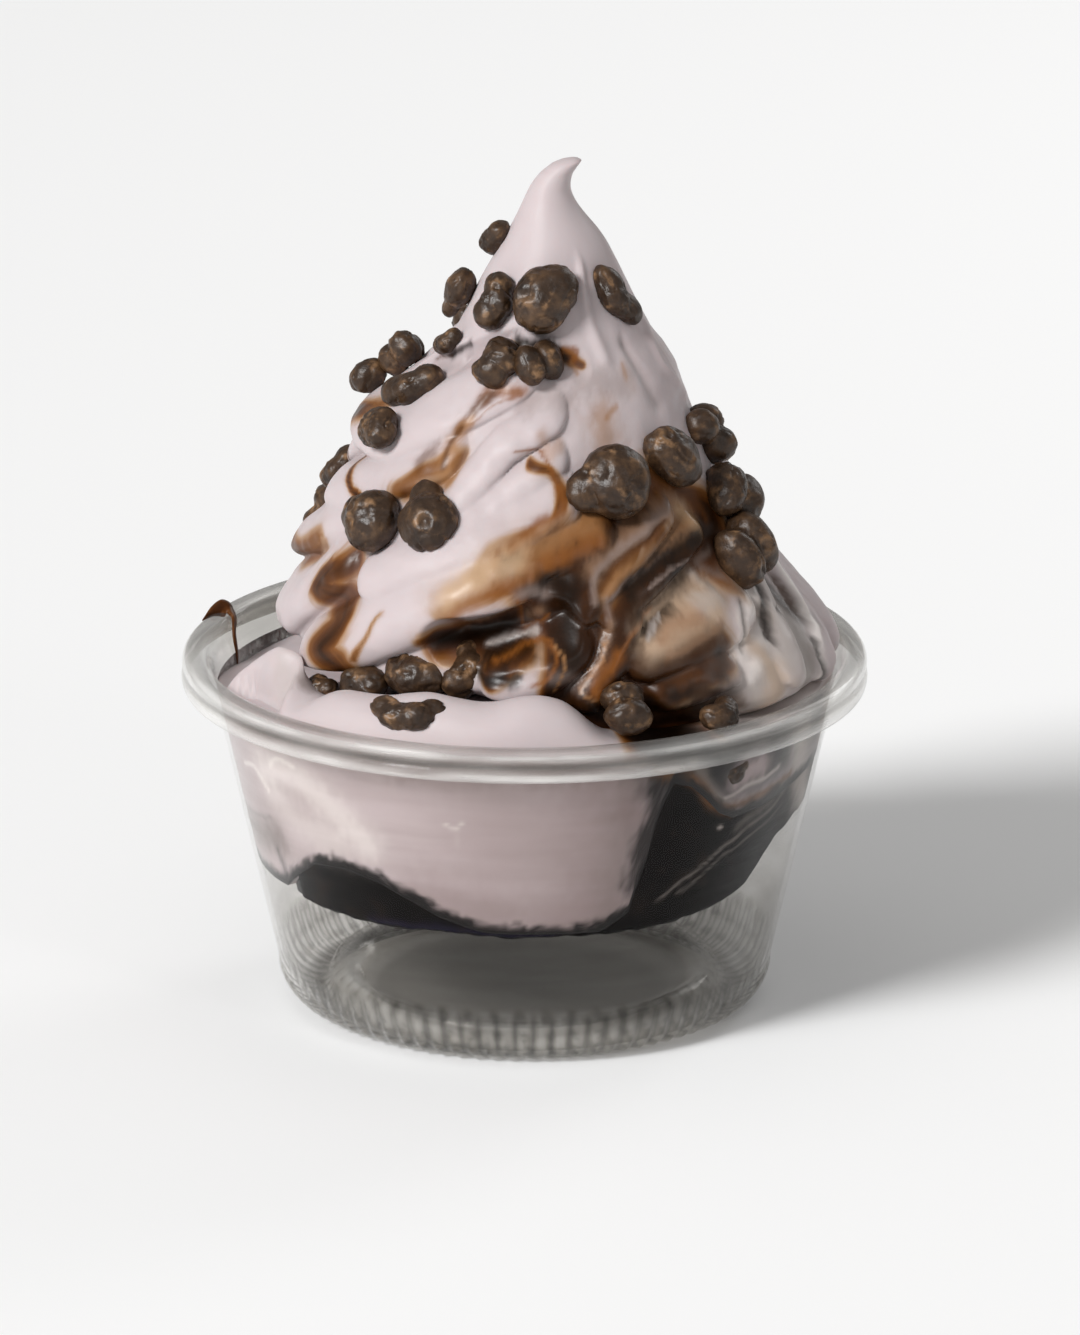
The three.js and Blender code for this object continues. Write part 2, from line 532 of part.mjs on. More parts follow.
const [sunkAngle, sunkHeight, sunkLength, sunkWidth, sunkTilt, sunkLobes] = SUNK_NUGGET;
const sunkCentre = polar(sunkAngle, innerRadius(sunkHeight) - GAP - 0.6, sunkHeight);
const sunk = (grow) => {
  const ball = nuggetGeometry(sunkLength + 2 * grow, sunkWidth + 2.4 * grow, sunkLobes, 51);
  return toSolid(placed(ball, sunkCentre, polar(sunkAngle, 1, 0), sunkTilt));
};
addMesh("ice_cream", toGeometry(largestBody(iceCream.subtract(sunk(GAP)))), ICE_CREAM);

// Each nugget is cut back to the ice cream it is pressed into, the wall beside it, and the nuggets placed
// before it.
const before = [];
nuggets.forEach(({ length, width, lobes, centre, normal, tilt, seed }, i) => {
  const whole = toSolid(placed(nuggetGeometry(length, width, lobes, seed), centre, normal, tilt));
  const grown = nuggetGeometry(length + 2 * GAP, width + 2.4 * GAP, lobes, seed);
  let left = whole.subtract(grownIceCream);
  if (i >= SWIRL_NUGGETS.length) left = left.intersect(inside);
  for (const other of before) {
    const near = (other.length + length) / 2 + 1;
    if (other.centre.distanceTo(centre) < near) left = left.subtract(other.grown);
  }
  before.push({ centre, length, grown: toSolid(placed(grown, centre, normal, tilt)) });
  addMesh("nugget_" + String(i + 1).padStart(2, "0"), toGeometry(largestBody(left)), NUGGET);
});
addMesh("nugget_" + (nuggets.length + 1), toGeometry(largestBody(sunk(0).intersect(inside))), NUGGET);

export default group;
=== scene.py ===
"""A clear dessert cup with a dark brownie, a tall swirl of soft ice cream, chocolate sauce and nuggets.

Lengths in the tables are millimetres, with the origin at the centre of the cup's foot and +Z up. Angles are
degrees round the cup's axis: 0 at the front (-Y), 90 at the right (+X), -90 at the left.
"""
import math
import bmesh
import bpy
import numpy as np
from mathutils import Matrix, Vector


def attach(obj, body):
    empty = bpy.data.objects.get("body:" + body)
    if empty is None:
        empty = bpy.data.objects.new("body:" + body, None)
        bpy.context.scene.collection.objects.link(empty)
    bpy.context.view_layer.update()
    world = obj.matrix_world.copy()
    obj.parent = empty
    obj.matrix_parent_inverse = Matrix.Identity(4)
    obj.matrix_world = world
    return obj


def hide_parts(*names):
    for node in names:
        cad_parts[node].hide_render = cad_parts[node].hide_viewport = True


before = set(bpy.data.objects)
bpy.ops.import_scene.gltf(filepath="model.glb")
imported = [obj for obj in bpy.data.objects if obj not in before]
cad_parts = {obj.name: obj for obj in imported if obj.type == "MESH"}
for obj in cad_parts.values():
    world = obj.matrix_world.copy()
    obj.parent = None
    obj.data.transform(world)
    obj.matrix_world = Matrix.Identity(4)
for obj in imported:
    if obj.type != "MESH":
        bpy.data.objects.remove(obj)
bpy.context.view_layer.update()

MM = 0.001
scene = bpy.context.scene

# ---------- camera: the photograph's viewing angle ----------
PHOTO_HEIGHT = 1335
PIXELS_PER_MM = 7.01
CAMERA_DISTANCE = 1.6
CAMERA_ELEVATION = 17.5
CAMERA_TARGET = Vector((0.00221, 0.0, 0.0481))

camera_data = bpy.data.cameras.new("camera")
camera_data.sensor_fit = "VERTICAL"
camera_data.sensor_height = 36.0
camera_data.lens = 36.0 * PIXELS_PER_MM * CAMERA_DISTANCE * 1000 / PHOTO_HEIGHT
camera_data.clip_start = 0.05
camera = bpy.data.objects.new("camera", camera_data)
scene.collection.objects.link(camera)
rise = math.radians(CAMERA_ELEVATION)
toward = Vector((0, -math.cos(rise), math.sin(rise)))
camera.location = CAMERA_TARGET + CAMERA_DISTANCE * toward
camera.rotation_euler = (-toward).to_track_quat("-Z", "Y").to_euler()
scene.camera = camera


# ---------- shared functions ----------
def word_rows(text):
    """A table's rows, one to a line. A word that ends in a digit is a number. A line with # is a note."""
    lines = [line.split() for line in text.strip().splitlines() if line[0] != "#"]
    return [[float(word) if word[-1].isdigit() else word for word in words] for words in lines]


def path_rows(leading, text):
    """A table's rows: the leading words of each line, then its numbers in pairs, as a path's points."""
    return [(*row[:leading], list(zip(row[leading::2], row[leading + 1::2]))) for row in word_rows(text)]


def round_angles(columns):
    """Even angles once round the axis, from the back."""
    return np.arange(columns) * 360.0 / columns - 180


def polar(angle, radius, height):
    """Points at angles in degrees round the axis."""
    a = np.radians(angle)
    return np.stack(np.broadcast_arrays(radius * np.sin(a), -radius * np.cos(a), height), -1)


def out_from_axis(points):
    return np.hypot(points[:, 0], points[:, 1])


def smooth(t):
    t = np.clip(t, 0.0, 1.0)
    return t * t * (3.0 - 2.0 * t)


def wrap(degrees):
    return (np.asarray(degrees, float) + 180.0) % 360.0 - 180.0


def lattice(ix, iy, iz, seed):
    """A repeatable value from 0 to 1 at each whole-number point."""
    h = (ix * 374761393 + iy * 668265263 + iz * 2147483647 + seed * 1274126177) & 0xFFFFFFFF
    h = ((h ^ (h >> 13)) * 1274126177) & 0xFFFFFFFF
    h = ((h ^ (h >> 16)) * 2246822519) & 0xFFFFFFFF
    return ((h ^ (h >> 15)) & 0xFFFFFF) / float(0xFFFFFF)


def noise(points, scale, seed=0):
    """Smooth noise from -1 to 1 at points (n, 3), with features about 1/scale apart."""
    p = np.asarray(points, float) * scale
    cell = np.floor(p).astype(np.int64)
    f = p - cell
    f = f * f * f * (f * (f * 6 - 15) + 10)
    total = 0.0
    for dx in (0, 1):
        for dy in (0, 1):
            for dz in (0, 1):
                weight = np.abs(1 - dx - f[:, 0]) * np.abs(1 - dy - f[:, 1]) * np.abs(1 - dz - f[:, 2])
                total = total + weight * lattice(cell[:, 0] + dx, cell[:, 1] + dy, cell[:, 2] + dz, seed)
    return total * 2 - 1


def layered_noise(points, scale, seed=0, layers=3):
    total, size = 0.0, 1.0
    for k in range(layers):
        total = total + size * noise(points, scale * 2 ** k, seed + 17 * k)
        size *= 0.5
    return total / (2 - 2 ** (1 - layers))


def ring_faces(rows, columns):
    """Quads of a surface of rows of points that close on themselves sideways."""
    k, i = np.meshgrid(np.arange(rows - 1) * columns, np.arange(columns), indexing="ij")
    j = (i + 1) % columns
    return np.stack([k + i, k + j, k + columns + j, k + columns + i], -1).reshape(-1, 4)


def closed_mesh(name, rows, bottom, top, attributes=None):
    """A closed mesh of rings (rows, columns, 3) in mm, with a point below and a point above them."""
    count, columns = rows.shape[:2]
    vertices = np.concatenate([rows.reshape(-1, 3), [bottom, top]]) * MM
    faces = ring_faces(count, columns).tolist()
    low, high = count * columns, count * columns + 1
    last = (count - 1) * columns
    for i in range(columns):
        j = (i + 1) % columns
        faces.append((low, j, i))
        faces.append((high, last + i, last + j))
    return new_mesh(name, vertices, faces, attributes)


def new_mesh(name, vertices, faces, attributes=None):
    mesh = bpy.data.meshes.new(name)
    mesh.from_pydata(np.asarray(vertices).tolist(), [], faces)
    mesh.polygons.foreach_set("use_smooth", np.ones(len(mesh.polygons), dtype=bool))
    for key, values in (attributes or {}).items():
        values = np.asarray(values, np.float32)
        missing = len(mesh.vertices) - len(values)
        values = np.concatenate([values, np.repeat(values[-1:], missing, 0)])
        kind, field = ("FLOAT", "value") if values.ndim == 1 else ("FLOAT_VECTOR", "vector")
        mesh.attributes.new(key, kind, "POINT").data.foreach_set(field, values.ravel())
    mesh.update()
    piece = bpy.data.objects.new(name, mesh)
    scene.collection.objects.link(piece)
    return piece


# ---------- the swirl's shape ----------
# height, radius, sideways shift of the axis
CORE = np.array([
    [38, 30, 2], [46, 33.5, 2.4], [52, 35, 2.4], [58, 34.2, 2.2], [64, 32.2, 1.8], [72, 28.8, 1.2],
    [80, 24.6, 1.2], [88, 20.4, 2], [92, 17.9, 3], [95, 15.9, 3.9], [98, 13.9, 4.2], [102, 11.9, 4.1],
    [106, 10.1, 4.1], [112, 6.9, 4.3], [116, 4.2, 3.6], [118, 3.2, 3.4], [119.5, 2.75, 3.7],
    [121.1, 2.3, 4.5], [122.4, 1.95, 5.75], [122.9, 1.6, 6.5], [123.3, 0.5, 7],
])
TIP_HEIGHT = 123.3
SWIRL_BOTTOM = 41.0
DROOP = 0.25

# Strands that lie on the swirl: half width, lift at the start, lift at the end, path as (angle, height).
STRANDS = path_rows(3, """
5 4.6 1.6  -104 86.5  -61 86.9  -37 92.5  -19 96.8
3.6 3 1.6  -84 76.5  -58 80.1  -35 85.1
2.9 2.2 1.8  -24 80.6  -13 87.2  3 91
2.6 1.8 1.8  -20 77.5  -2 83.1  6 85.4
3.7 3 2.4  -45 68.3  -26 73.1  -6 77.3  9 80.4
5 3.8 3  -60 56.6  -48 60.5  -24 67.5  -4 71.8
3.8 4.3 2  -106 66  -81 70.6  -64 75.5
4.4 3.4 2.2  -110 55.5  -81 59.4  -62 68.1
3 2.4 2.2  -3 72.3  20 75.9
2.7 2 2  12 67  24 71.7  41 77.8
2.4 1.8 1.8  19 65.7  32 69.4  50 74.3
2.6 2.2 2  11 54.9  19 61  23 65.2
3.4 2.6 2.2  25 59.6  39 62.2  56 64.5
2.8 2 1.8  29 54.4  42 57.7
4 2.6 2.2  -8 56.6  -1 58.2  7 62
2.6 1.8 1.6  2 66.7  18 73
2.6 1.8 1.8  60 56  70 66  76 72
2.4 1.6 1.8  76 52  84 62  92 68
3 1.8 1.8  92 50  100 60  112 66
""")
# height, half width and lift of each tier of strands round the back
BACK_TIERS = [(55.0, 4.8, 3.2), (65.5, 4.4, 3.0), (76.0, 4.0, 2.8), (86.0, 3.6, 2.2)]
STRANDS_IN_TIER = 4


def back_angle(tier, k):
    """Where a strand round the back starts."""
    return 112 + 13 * (tier % 2) + 40 * k


for tier, (tier_height, tier_half, tier_lift) in enumerate(BACK_TIERS):
    for k in range(STRANDS_IN_TIER):
        angle = back_angle(tier, k)
        start = tier_height + 1.6 * math.sin(1.7 * k + tier)
        path = [(angle, start), (angle + 24, start + 3.6), (angle + 46, start + 8.4)]
        STRANDS.append((tier_half, tier_lift, tier_lift * 0.6, path))

# Folds pressed into the swirl: half width, depth at the start, depth at the end, path.
FOLDS = path_rows(3, """
2.6 2.4 0.8  -80 93.5  -59 95.8  -43 97.8  -23 99.1  13 96.5
4.4 5.5 3  -21 62  -9 63  4 65.1
""")


BLUR_STEPS = (-1, -0.5, 0, 0.5, 1)


def core_value(height, column):
    """A column of the table at each height, blurred a little so that the joints of its rows don't show."""
    height = np.asarray(height, float)
    blur = 1.6 * smooth((122.5 - height) / 6)
    return sum(np.interp(height + o * blur, CORE[:, 0], CORE[:, column]) for o in BLUR_STEPS) / 5


def core_radius(height):
    return core_value(height, 1)


def core_shift(height):
    return core_value(height, 2)


def smooth_path(path, steps=5):
    """A path's points joined by a curve that runs through them."""
    points = np.array([path[0], *path, path[-1]], float)
    curve = []
    for a, b, c, d in zip(points, points[1:], points[2:], points[3:]):
        for t in np.arange(steps) / steps:
            bend = (c - a) * t + (2 * a - 5 * b + 4 * c - d) * t ** 2 + (3 * b - a - 3 * c + d) * t ** 3
            curve.append(b + bend / 2)
    curve.append(points[-1])
    return curve


def near_path(angle, height, path, margin, radius):
    """Which places lie within a margin in mm of the box round a path."""
    angles, heights = zip(*path)
    middle = (min(angles) + max(angles)) / 2
    reach = (max(angles) - min(angles)) / 2 + math.degrees(margin / radius)
    beside = np.abs(wrap(angle - middle)) < reach
    return beside & (height > min(heights) - margin) & (height < max(heights) + margin)


def path_distance(angle, height, path, radius=None):
    """Distance in mm on the unrolled surface to a path, and how far along it (0 to 1) that is."""
    middle = path[len(path) // 2][0]
    radius = radius or float(core_radius(np.mean([p[1] for p in path]))) + 2
    across = np.radians(wrap(angle - middle)) * radius
    points = [(math.radians(a - middle) * radius, h) for a, h in path]
    lengths = [math.dist(a, b) for a, b in zip(points, points[1:])]
    best = np.full(np.shape(angle), 1e9)
    along = np.zeros(np.shape(angle))
    done = 0.0
    for a, b, length in zip(points, points[1:], lengths):
        if not length:
            continue
        ux, uz = (b[0] - a[0]) / length, (b[1] - a[1]) / length
        t = np.clip((across - a[0]) * ux + (height - a[1]) * uz, 0, length)
        distance = np.hypot(across - a[0] - t * ux, height - a[1] - t * uz)
        nearer = distance < best
        best = np.where(nearer, distance, best)
        along = np.where(nearer, (done + t) / sum(lengths), along)
        done += length
    return best, along


def strand_lift(angle, height):
    total = np.zeros(np.shape(angle))
    for half, start, end, path in STRANDS:
        distance, along = path_distance(angle, height, path)
        total += ((start + (end - start) * along) * np.maximum(0, 1 - (distance / half) ** 2) ** 0.62) ** 5
    return total ** 0.2


def fold_depth(angle, height):
    deepest = np.zeros(np.shape(angle))
    for half, start, end, path in FOLDS:
        distance, along = path_distance(angle, height, path)
        depth = (start + (end - start) * along) * np.maximum(0, 1 - (distance / half) ** 2) ** 1.5
        deepest = np.maximum(deepest, depth)
    return deepest


def undercut(angle):
    a = wrap(angle)
    left = smooth((a + 118) / 25) * smooth((2 - a) / 22)
    back = smooth((np.abs(a) - 128) / 20)
    return np.maximum(left, 0.35 * back)


def skirt(angle):
    return smooth((wrap(angle) - 22) / 35) * smooth((138 - wrap(angle)) / 35)


def swirl_radius(angle, height):
    wave = 0.35 * np.sin(np.radians(3 * angle) + 0.22 * height) * smooth((100 - height) / 25)
    drawn_in = undercut(angle) * 7.5 * smooth((55.5 - height) / 4.0)
    fan = smooth((99 - height) / 6) + 5.4 * smooth((66 - height) / 12) * smooth((height - 46) / 8)
    relief = strand_lift(angle, height) - fold_depth(angle, height) + wave
    return core_radius(height) + relief - drawn_in + skirt(angle) * fan


def swirl_point(angle, height):
    radius = swirl_radius(angle, height)
    lift = np.maximum(0, radius - core_radius(height))
    droop = DROOP * lift * smooth((height - 44) / 8) * smooth((118 - height) / 10)
    point = polar(angle, radius, height - droop)
    point[..., 0] += core_shift(height)
    return point


def swirl_normal(angle, height):
    along = swirl_point(angle + 4, height) - swirl_point(angle - 4, height)
    up = swirl_point(angle, height + 1.5) - swirl_point(angle, height - 1.5)
    normal = np.cross(along, up)
    return normal / np.linalg.norm(normal)


# ---------- the fill's shape ----------
def inner_radius(height):
    return 33.3 + 0.226 * np.asarray(height, float)


# angle, height at the wall, height of the crest, radius of the crest, height of the valley inside it
BED = np.array([
    [-180, 46, 47, 38, 46.5], [-135, 44, 45, 38, 44.5], [-112, 43.6, 44.6, 38, 44.2],
    [-92, 45.6, 46.6, 38.5, 45.8], [-79, 46.4, 47.3, 38.5, 46.8], [-71, 48.4, 54.4, 38.5, 49],
    [-61.5, 48.8, 57.3, 38.5, 50], [-54.5, 48.6, 53.9, 38.5, 50.4], [-50.5, 48.4, 50.8, 38.5, 50.2],
    [-43, 48.6, 53.8, 38.5, 51.2], [-30.5, 48.6, 54.4, 38.5, 52], [-19.5, 48.6, 56.1, 38.5, 52.6],
    [-7.5, 48.6, 54.9, 38.5, 52.4], [1.5, 48.6, 56.2, 38.5, 52.4], [6.5, 48.6, 55.8, 38.5, 52],
    [10.5, 48.6, 54.4, 38.5, 51], [16, 48.4, 50.3, 38.5, 49.6], [24, 48.2, 49.4, 38.5, 49],
    [34, 47.8, 49, 38, 48.5], [55, 47.5, 49, 38, 48.5], [75, 48.5, 50.5, 38, 50],
    [100, 50, 52.5, 38, 52], [130, 47.8, 50, 38, 49.5], [180, 46, 47, 38, 46.5],
])
BED_EDGE_RADIUS = 44.0


def table_at(table, key, column, soften=0.0):
    """A table's column at each key, blurred a little so that the joints of its rows don't show."""
    keys = wrap(key)
    if not soften:
        return np.interp(keys, table[:, 0], table[:, column])
    return sum(np.interp(wrap(keys + o * soften), table[:, 0], table[:, column]) for o in BLUR_STEPS) / 5


def bed_top(angle, radius):
    wall, crest, crest_radius, valley = (table_at(BED, angle, column, 3.0) for column in (1, 2, 3, 4))
    lobe = smooth((10.5 - np.abs(wrap(angle) + 62)) / 5)
    foot_radius = BED_EDGE_RADIUS - 3.2 * lobe
    out = np.clip((radius - crest_radius) / (foot_radius - crest_radius), 0, 1)
    outside = wall + (crest - wall) * np.sqrt(1 - out ** 2)
    inside = crest - (crest - valley) * smooth((crest_radius - radius) / (5.5 - 1.5 * lobe))
    return np.where(radius > crest_radius, outside, inside)


# angle, lower edge, top, how far it stands back from the wall
BROWNIE_EDGE = np.array([
    [-180, 20.0, 30.5, 0.3], [-150, 20.0, 28.0, 0.3], [-120, 20.0, 24.5, 0.8], [-96, 20.3, 22.6, 4.0],
    [-68, 20.3, 22.6, 4.0], [-61, 20.2, 22.8, 1.2], [-55, 20.2, 25.6, 0.3], [-48, 20.2, 28.6, 0.3],
    [-39, 20.2, 29.3, 0.3], [-31, 20.2, 28.3, 0.3], [-24, 20.2, 26.2, 0.3], [-18, 20.2, 24.2, 0.3],
    [-11, 20.2, 22.6, 0.3], [-5, 20.1, 21.7, 0.3], [8, 20.0, 21.4, 0.3], [16, 20.0, 21.8, 0.3],
    [22, 20.0, 24.5, 0.3], [25, 20.0, 33.0, 0.3], [26.5, 20.0, 40.0, 0.3], [29, 20.0, 44.2, 0.3],
    [33, 20.2, 43.2, 0.3], [37, 20.6, 40.6, 0.3], [41, 21.0, 37.8, 0.3], [45, 21.4, 36.4, 0.3],
    [54, 22.8, 36.6, 0.3], [58, 25.8, 37.0, 0.3], [62, 28.2, 37.3, 0.3], [70, 29.6, 38.0, 0.3],
    [95, 30.0, 38.5, 0.3], [112, 27.5, 38.5, 0.3], [130, 23.0, 36.0, 0.3], [150, 20.0, 32.5, 0.3],
    [180, 20.0, 30.5, 0.3],
])
BROWNIE_BASE = 20.0
BROWNIE_MIDDLE = 32.0
WALL_RADIUS = 42.0  # about where the wall side is painted
CREST_RADIUS = 39.0  # about where the top of the fill is painted
INTO_WALL = 0.16  # contents reach just into the cup's wall, so that no air shows between them
BROWNIE_INTO_WALL = 0.10  # less than the fill, which overlaps the brownie's top edge


# ---------- chocolate sauce on the ice cream ----------
# Each streak: half width, strength at the start, strength at the end, path as (angle, height) on the swirl.
STREAKS = path_rows(3, """
# under the pair of nuggets below the cone, and on down the fold to the left
0.7 0.6 0.6  -27 99.2  0 98.2  14 97
0.9 0.4 0.4  -30 85.2  -32 81.8  -44 78.8
2 0.4 0.4  -46 79.6  -34 84.8
# the hook beside the big nugget
1 0.6 0.6  -5 85.2  5 84.8  10 81.8  9 79.2  4 76.4  -6 74
# tan band that darkens down to the right
3.5 0.5 0.7  -8 73  5 75.2  16 75.4  23 77
3 0.3 0.3  -22 67.8  -16 70.2  -6 73.2
# the dark mass and the hollow beside it
3 0.85 0.85  0 71.2  7 67.4  7 62.6  7 55.6
2.5 1 1  -26 60.8  -14 61.2  -2 65
1.3 0.8 0.8  -12 57.4  -3 60.8
1.3 0.8 0.8  4 65.4  4 60.6  2 55.8
# broad marbled sauce at the right
3.6 0.8 0.7  8 69  22 74.6  34 77.5
4.2 0.82 0.75  12 57  20 63  34 68  50 72  62 74.6
3.4 0.8 0.8  20 54  32 58  42 61
2.5 0.95 0.95  6 54  21 50.4  35 50.6  42 51.6
3 0.6 0.6  41 82  60 77.2  57 72.2
2.4 0.3 0.3  54 67.4  62 63.4
# faint stains on the right of the cone
0.9 0.2 0.2  42 95.6  44 93
# the dark band at the left
2.8 0.72 0.72  -56 69.4  -64 65  -52 63.2  -56 58.6  -50 56.8
0.8 0.8 0.8  -76 81.2  -64 79  -58 78.4
0.5 0.5 0.4  -45 58.4  -38 65.4
""")
# The back is streaked as the front is: one streak along the underside of every second strand.
for tier, (tier_height, tier_half, tier_lift) in enumerate(BACK_TIERS):
    for k in range(tier % 2, STRANDS_IN_TIER, 2):
        angle = back_angle(tier, k)
        low = tier_height - 0.8 * tier_half
        path = [(angle - 4, low), (angle + 20, low + 3.0), (angle + 40, low + 7.6)]
        STREAKS.append((1.2 + 0.9 * (k % 2) + 0.4 * (tier % 3), 0.9, 0.45, path))


def streak_amount(angle, height, points):
    """How much sauce covers each place of the swirl, 0 to 1, and coordinates along and across its streaks."""
    wander = 1.3 * layered_noise(points, 0.14, 5, 2)
    drift = 1.3 * layered_noise(points + 40, 0.14, 9, 2)
    turned = angle + np.degrees(wander / np.maximum(6, core_radius(height)))
    amount = np.zeros(len(points))
    flow = np.zeros((len(points), 3))
    total = np.full(len(points), 1e-6)
    for number, (half, start, end, path) in enumerate(STREAKS):
        curve = smooth_path(path)
        near = near_path(angle, height, path, 3 * half + 2.5, 26.0)
        distance, along = path_distance(turned[near], (height + drift)[near], curve)
        edge = np.exp(-1.1 * (distance / half) ** 2)
        amount[near] += (1 - amount[near]) * (start + (end - start) * along) * edge
        weight = np.exp(-0.6 * (distance / (half + 1)) ** 2)
        reach = math.hypot(math.radians(path[-1][0] - path[0][0]) * 28, path[-1][1] - path[0][1])
        here = np.stack([distance * 0.42 + number * 0.4, along * reach * 0.05 + number, distance * 0.0], -1)
        flow[near] += here * weight[:, None]
        total[near] += weight
    return amount, flow / total[:, None]


# ---------- colours painted over the ice cream, its wall side and the brownie ----------
def rgb(red, green, blue):
    """A colour as it looks on screen, from 0 to 255, as the linear value that shaders use."""
    shares = [value / 255 for value in (red, green, blue)]
    return tuple(s / 12.92 if s <= 0.04045 else ((s + 0.055) / 1.055) ** 2.4 for s in shares)


PAINTS = {name: rgb(*color) for name, *color in word_rows("""
white 222 214 210
cream 198 186 186
silver 168 159 154
grey 122 114 109
charcoal 44 37 33
black 18 14 14
violet 30 27 42
beige 182 156 132
tan 148 106 68
honey 182 152 120
blush 130 100 78
ash 126 110 103
caramel 120 70 26
toffee 80 44 13
cocoa 46 22 4
dark 22 9 1
fudge 98 64 34
brown 64 40 22
pink 172 156 156
mauve 138 120 119
taupe 112 100 95
""")}

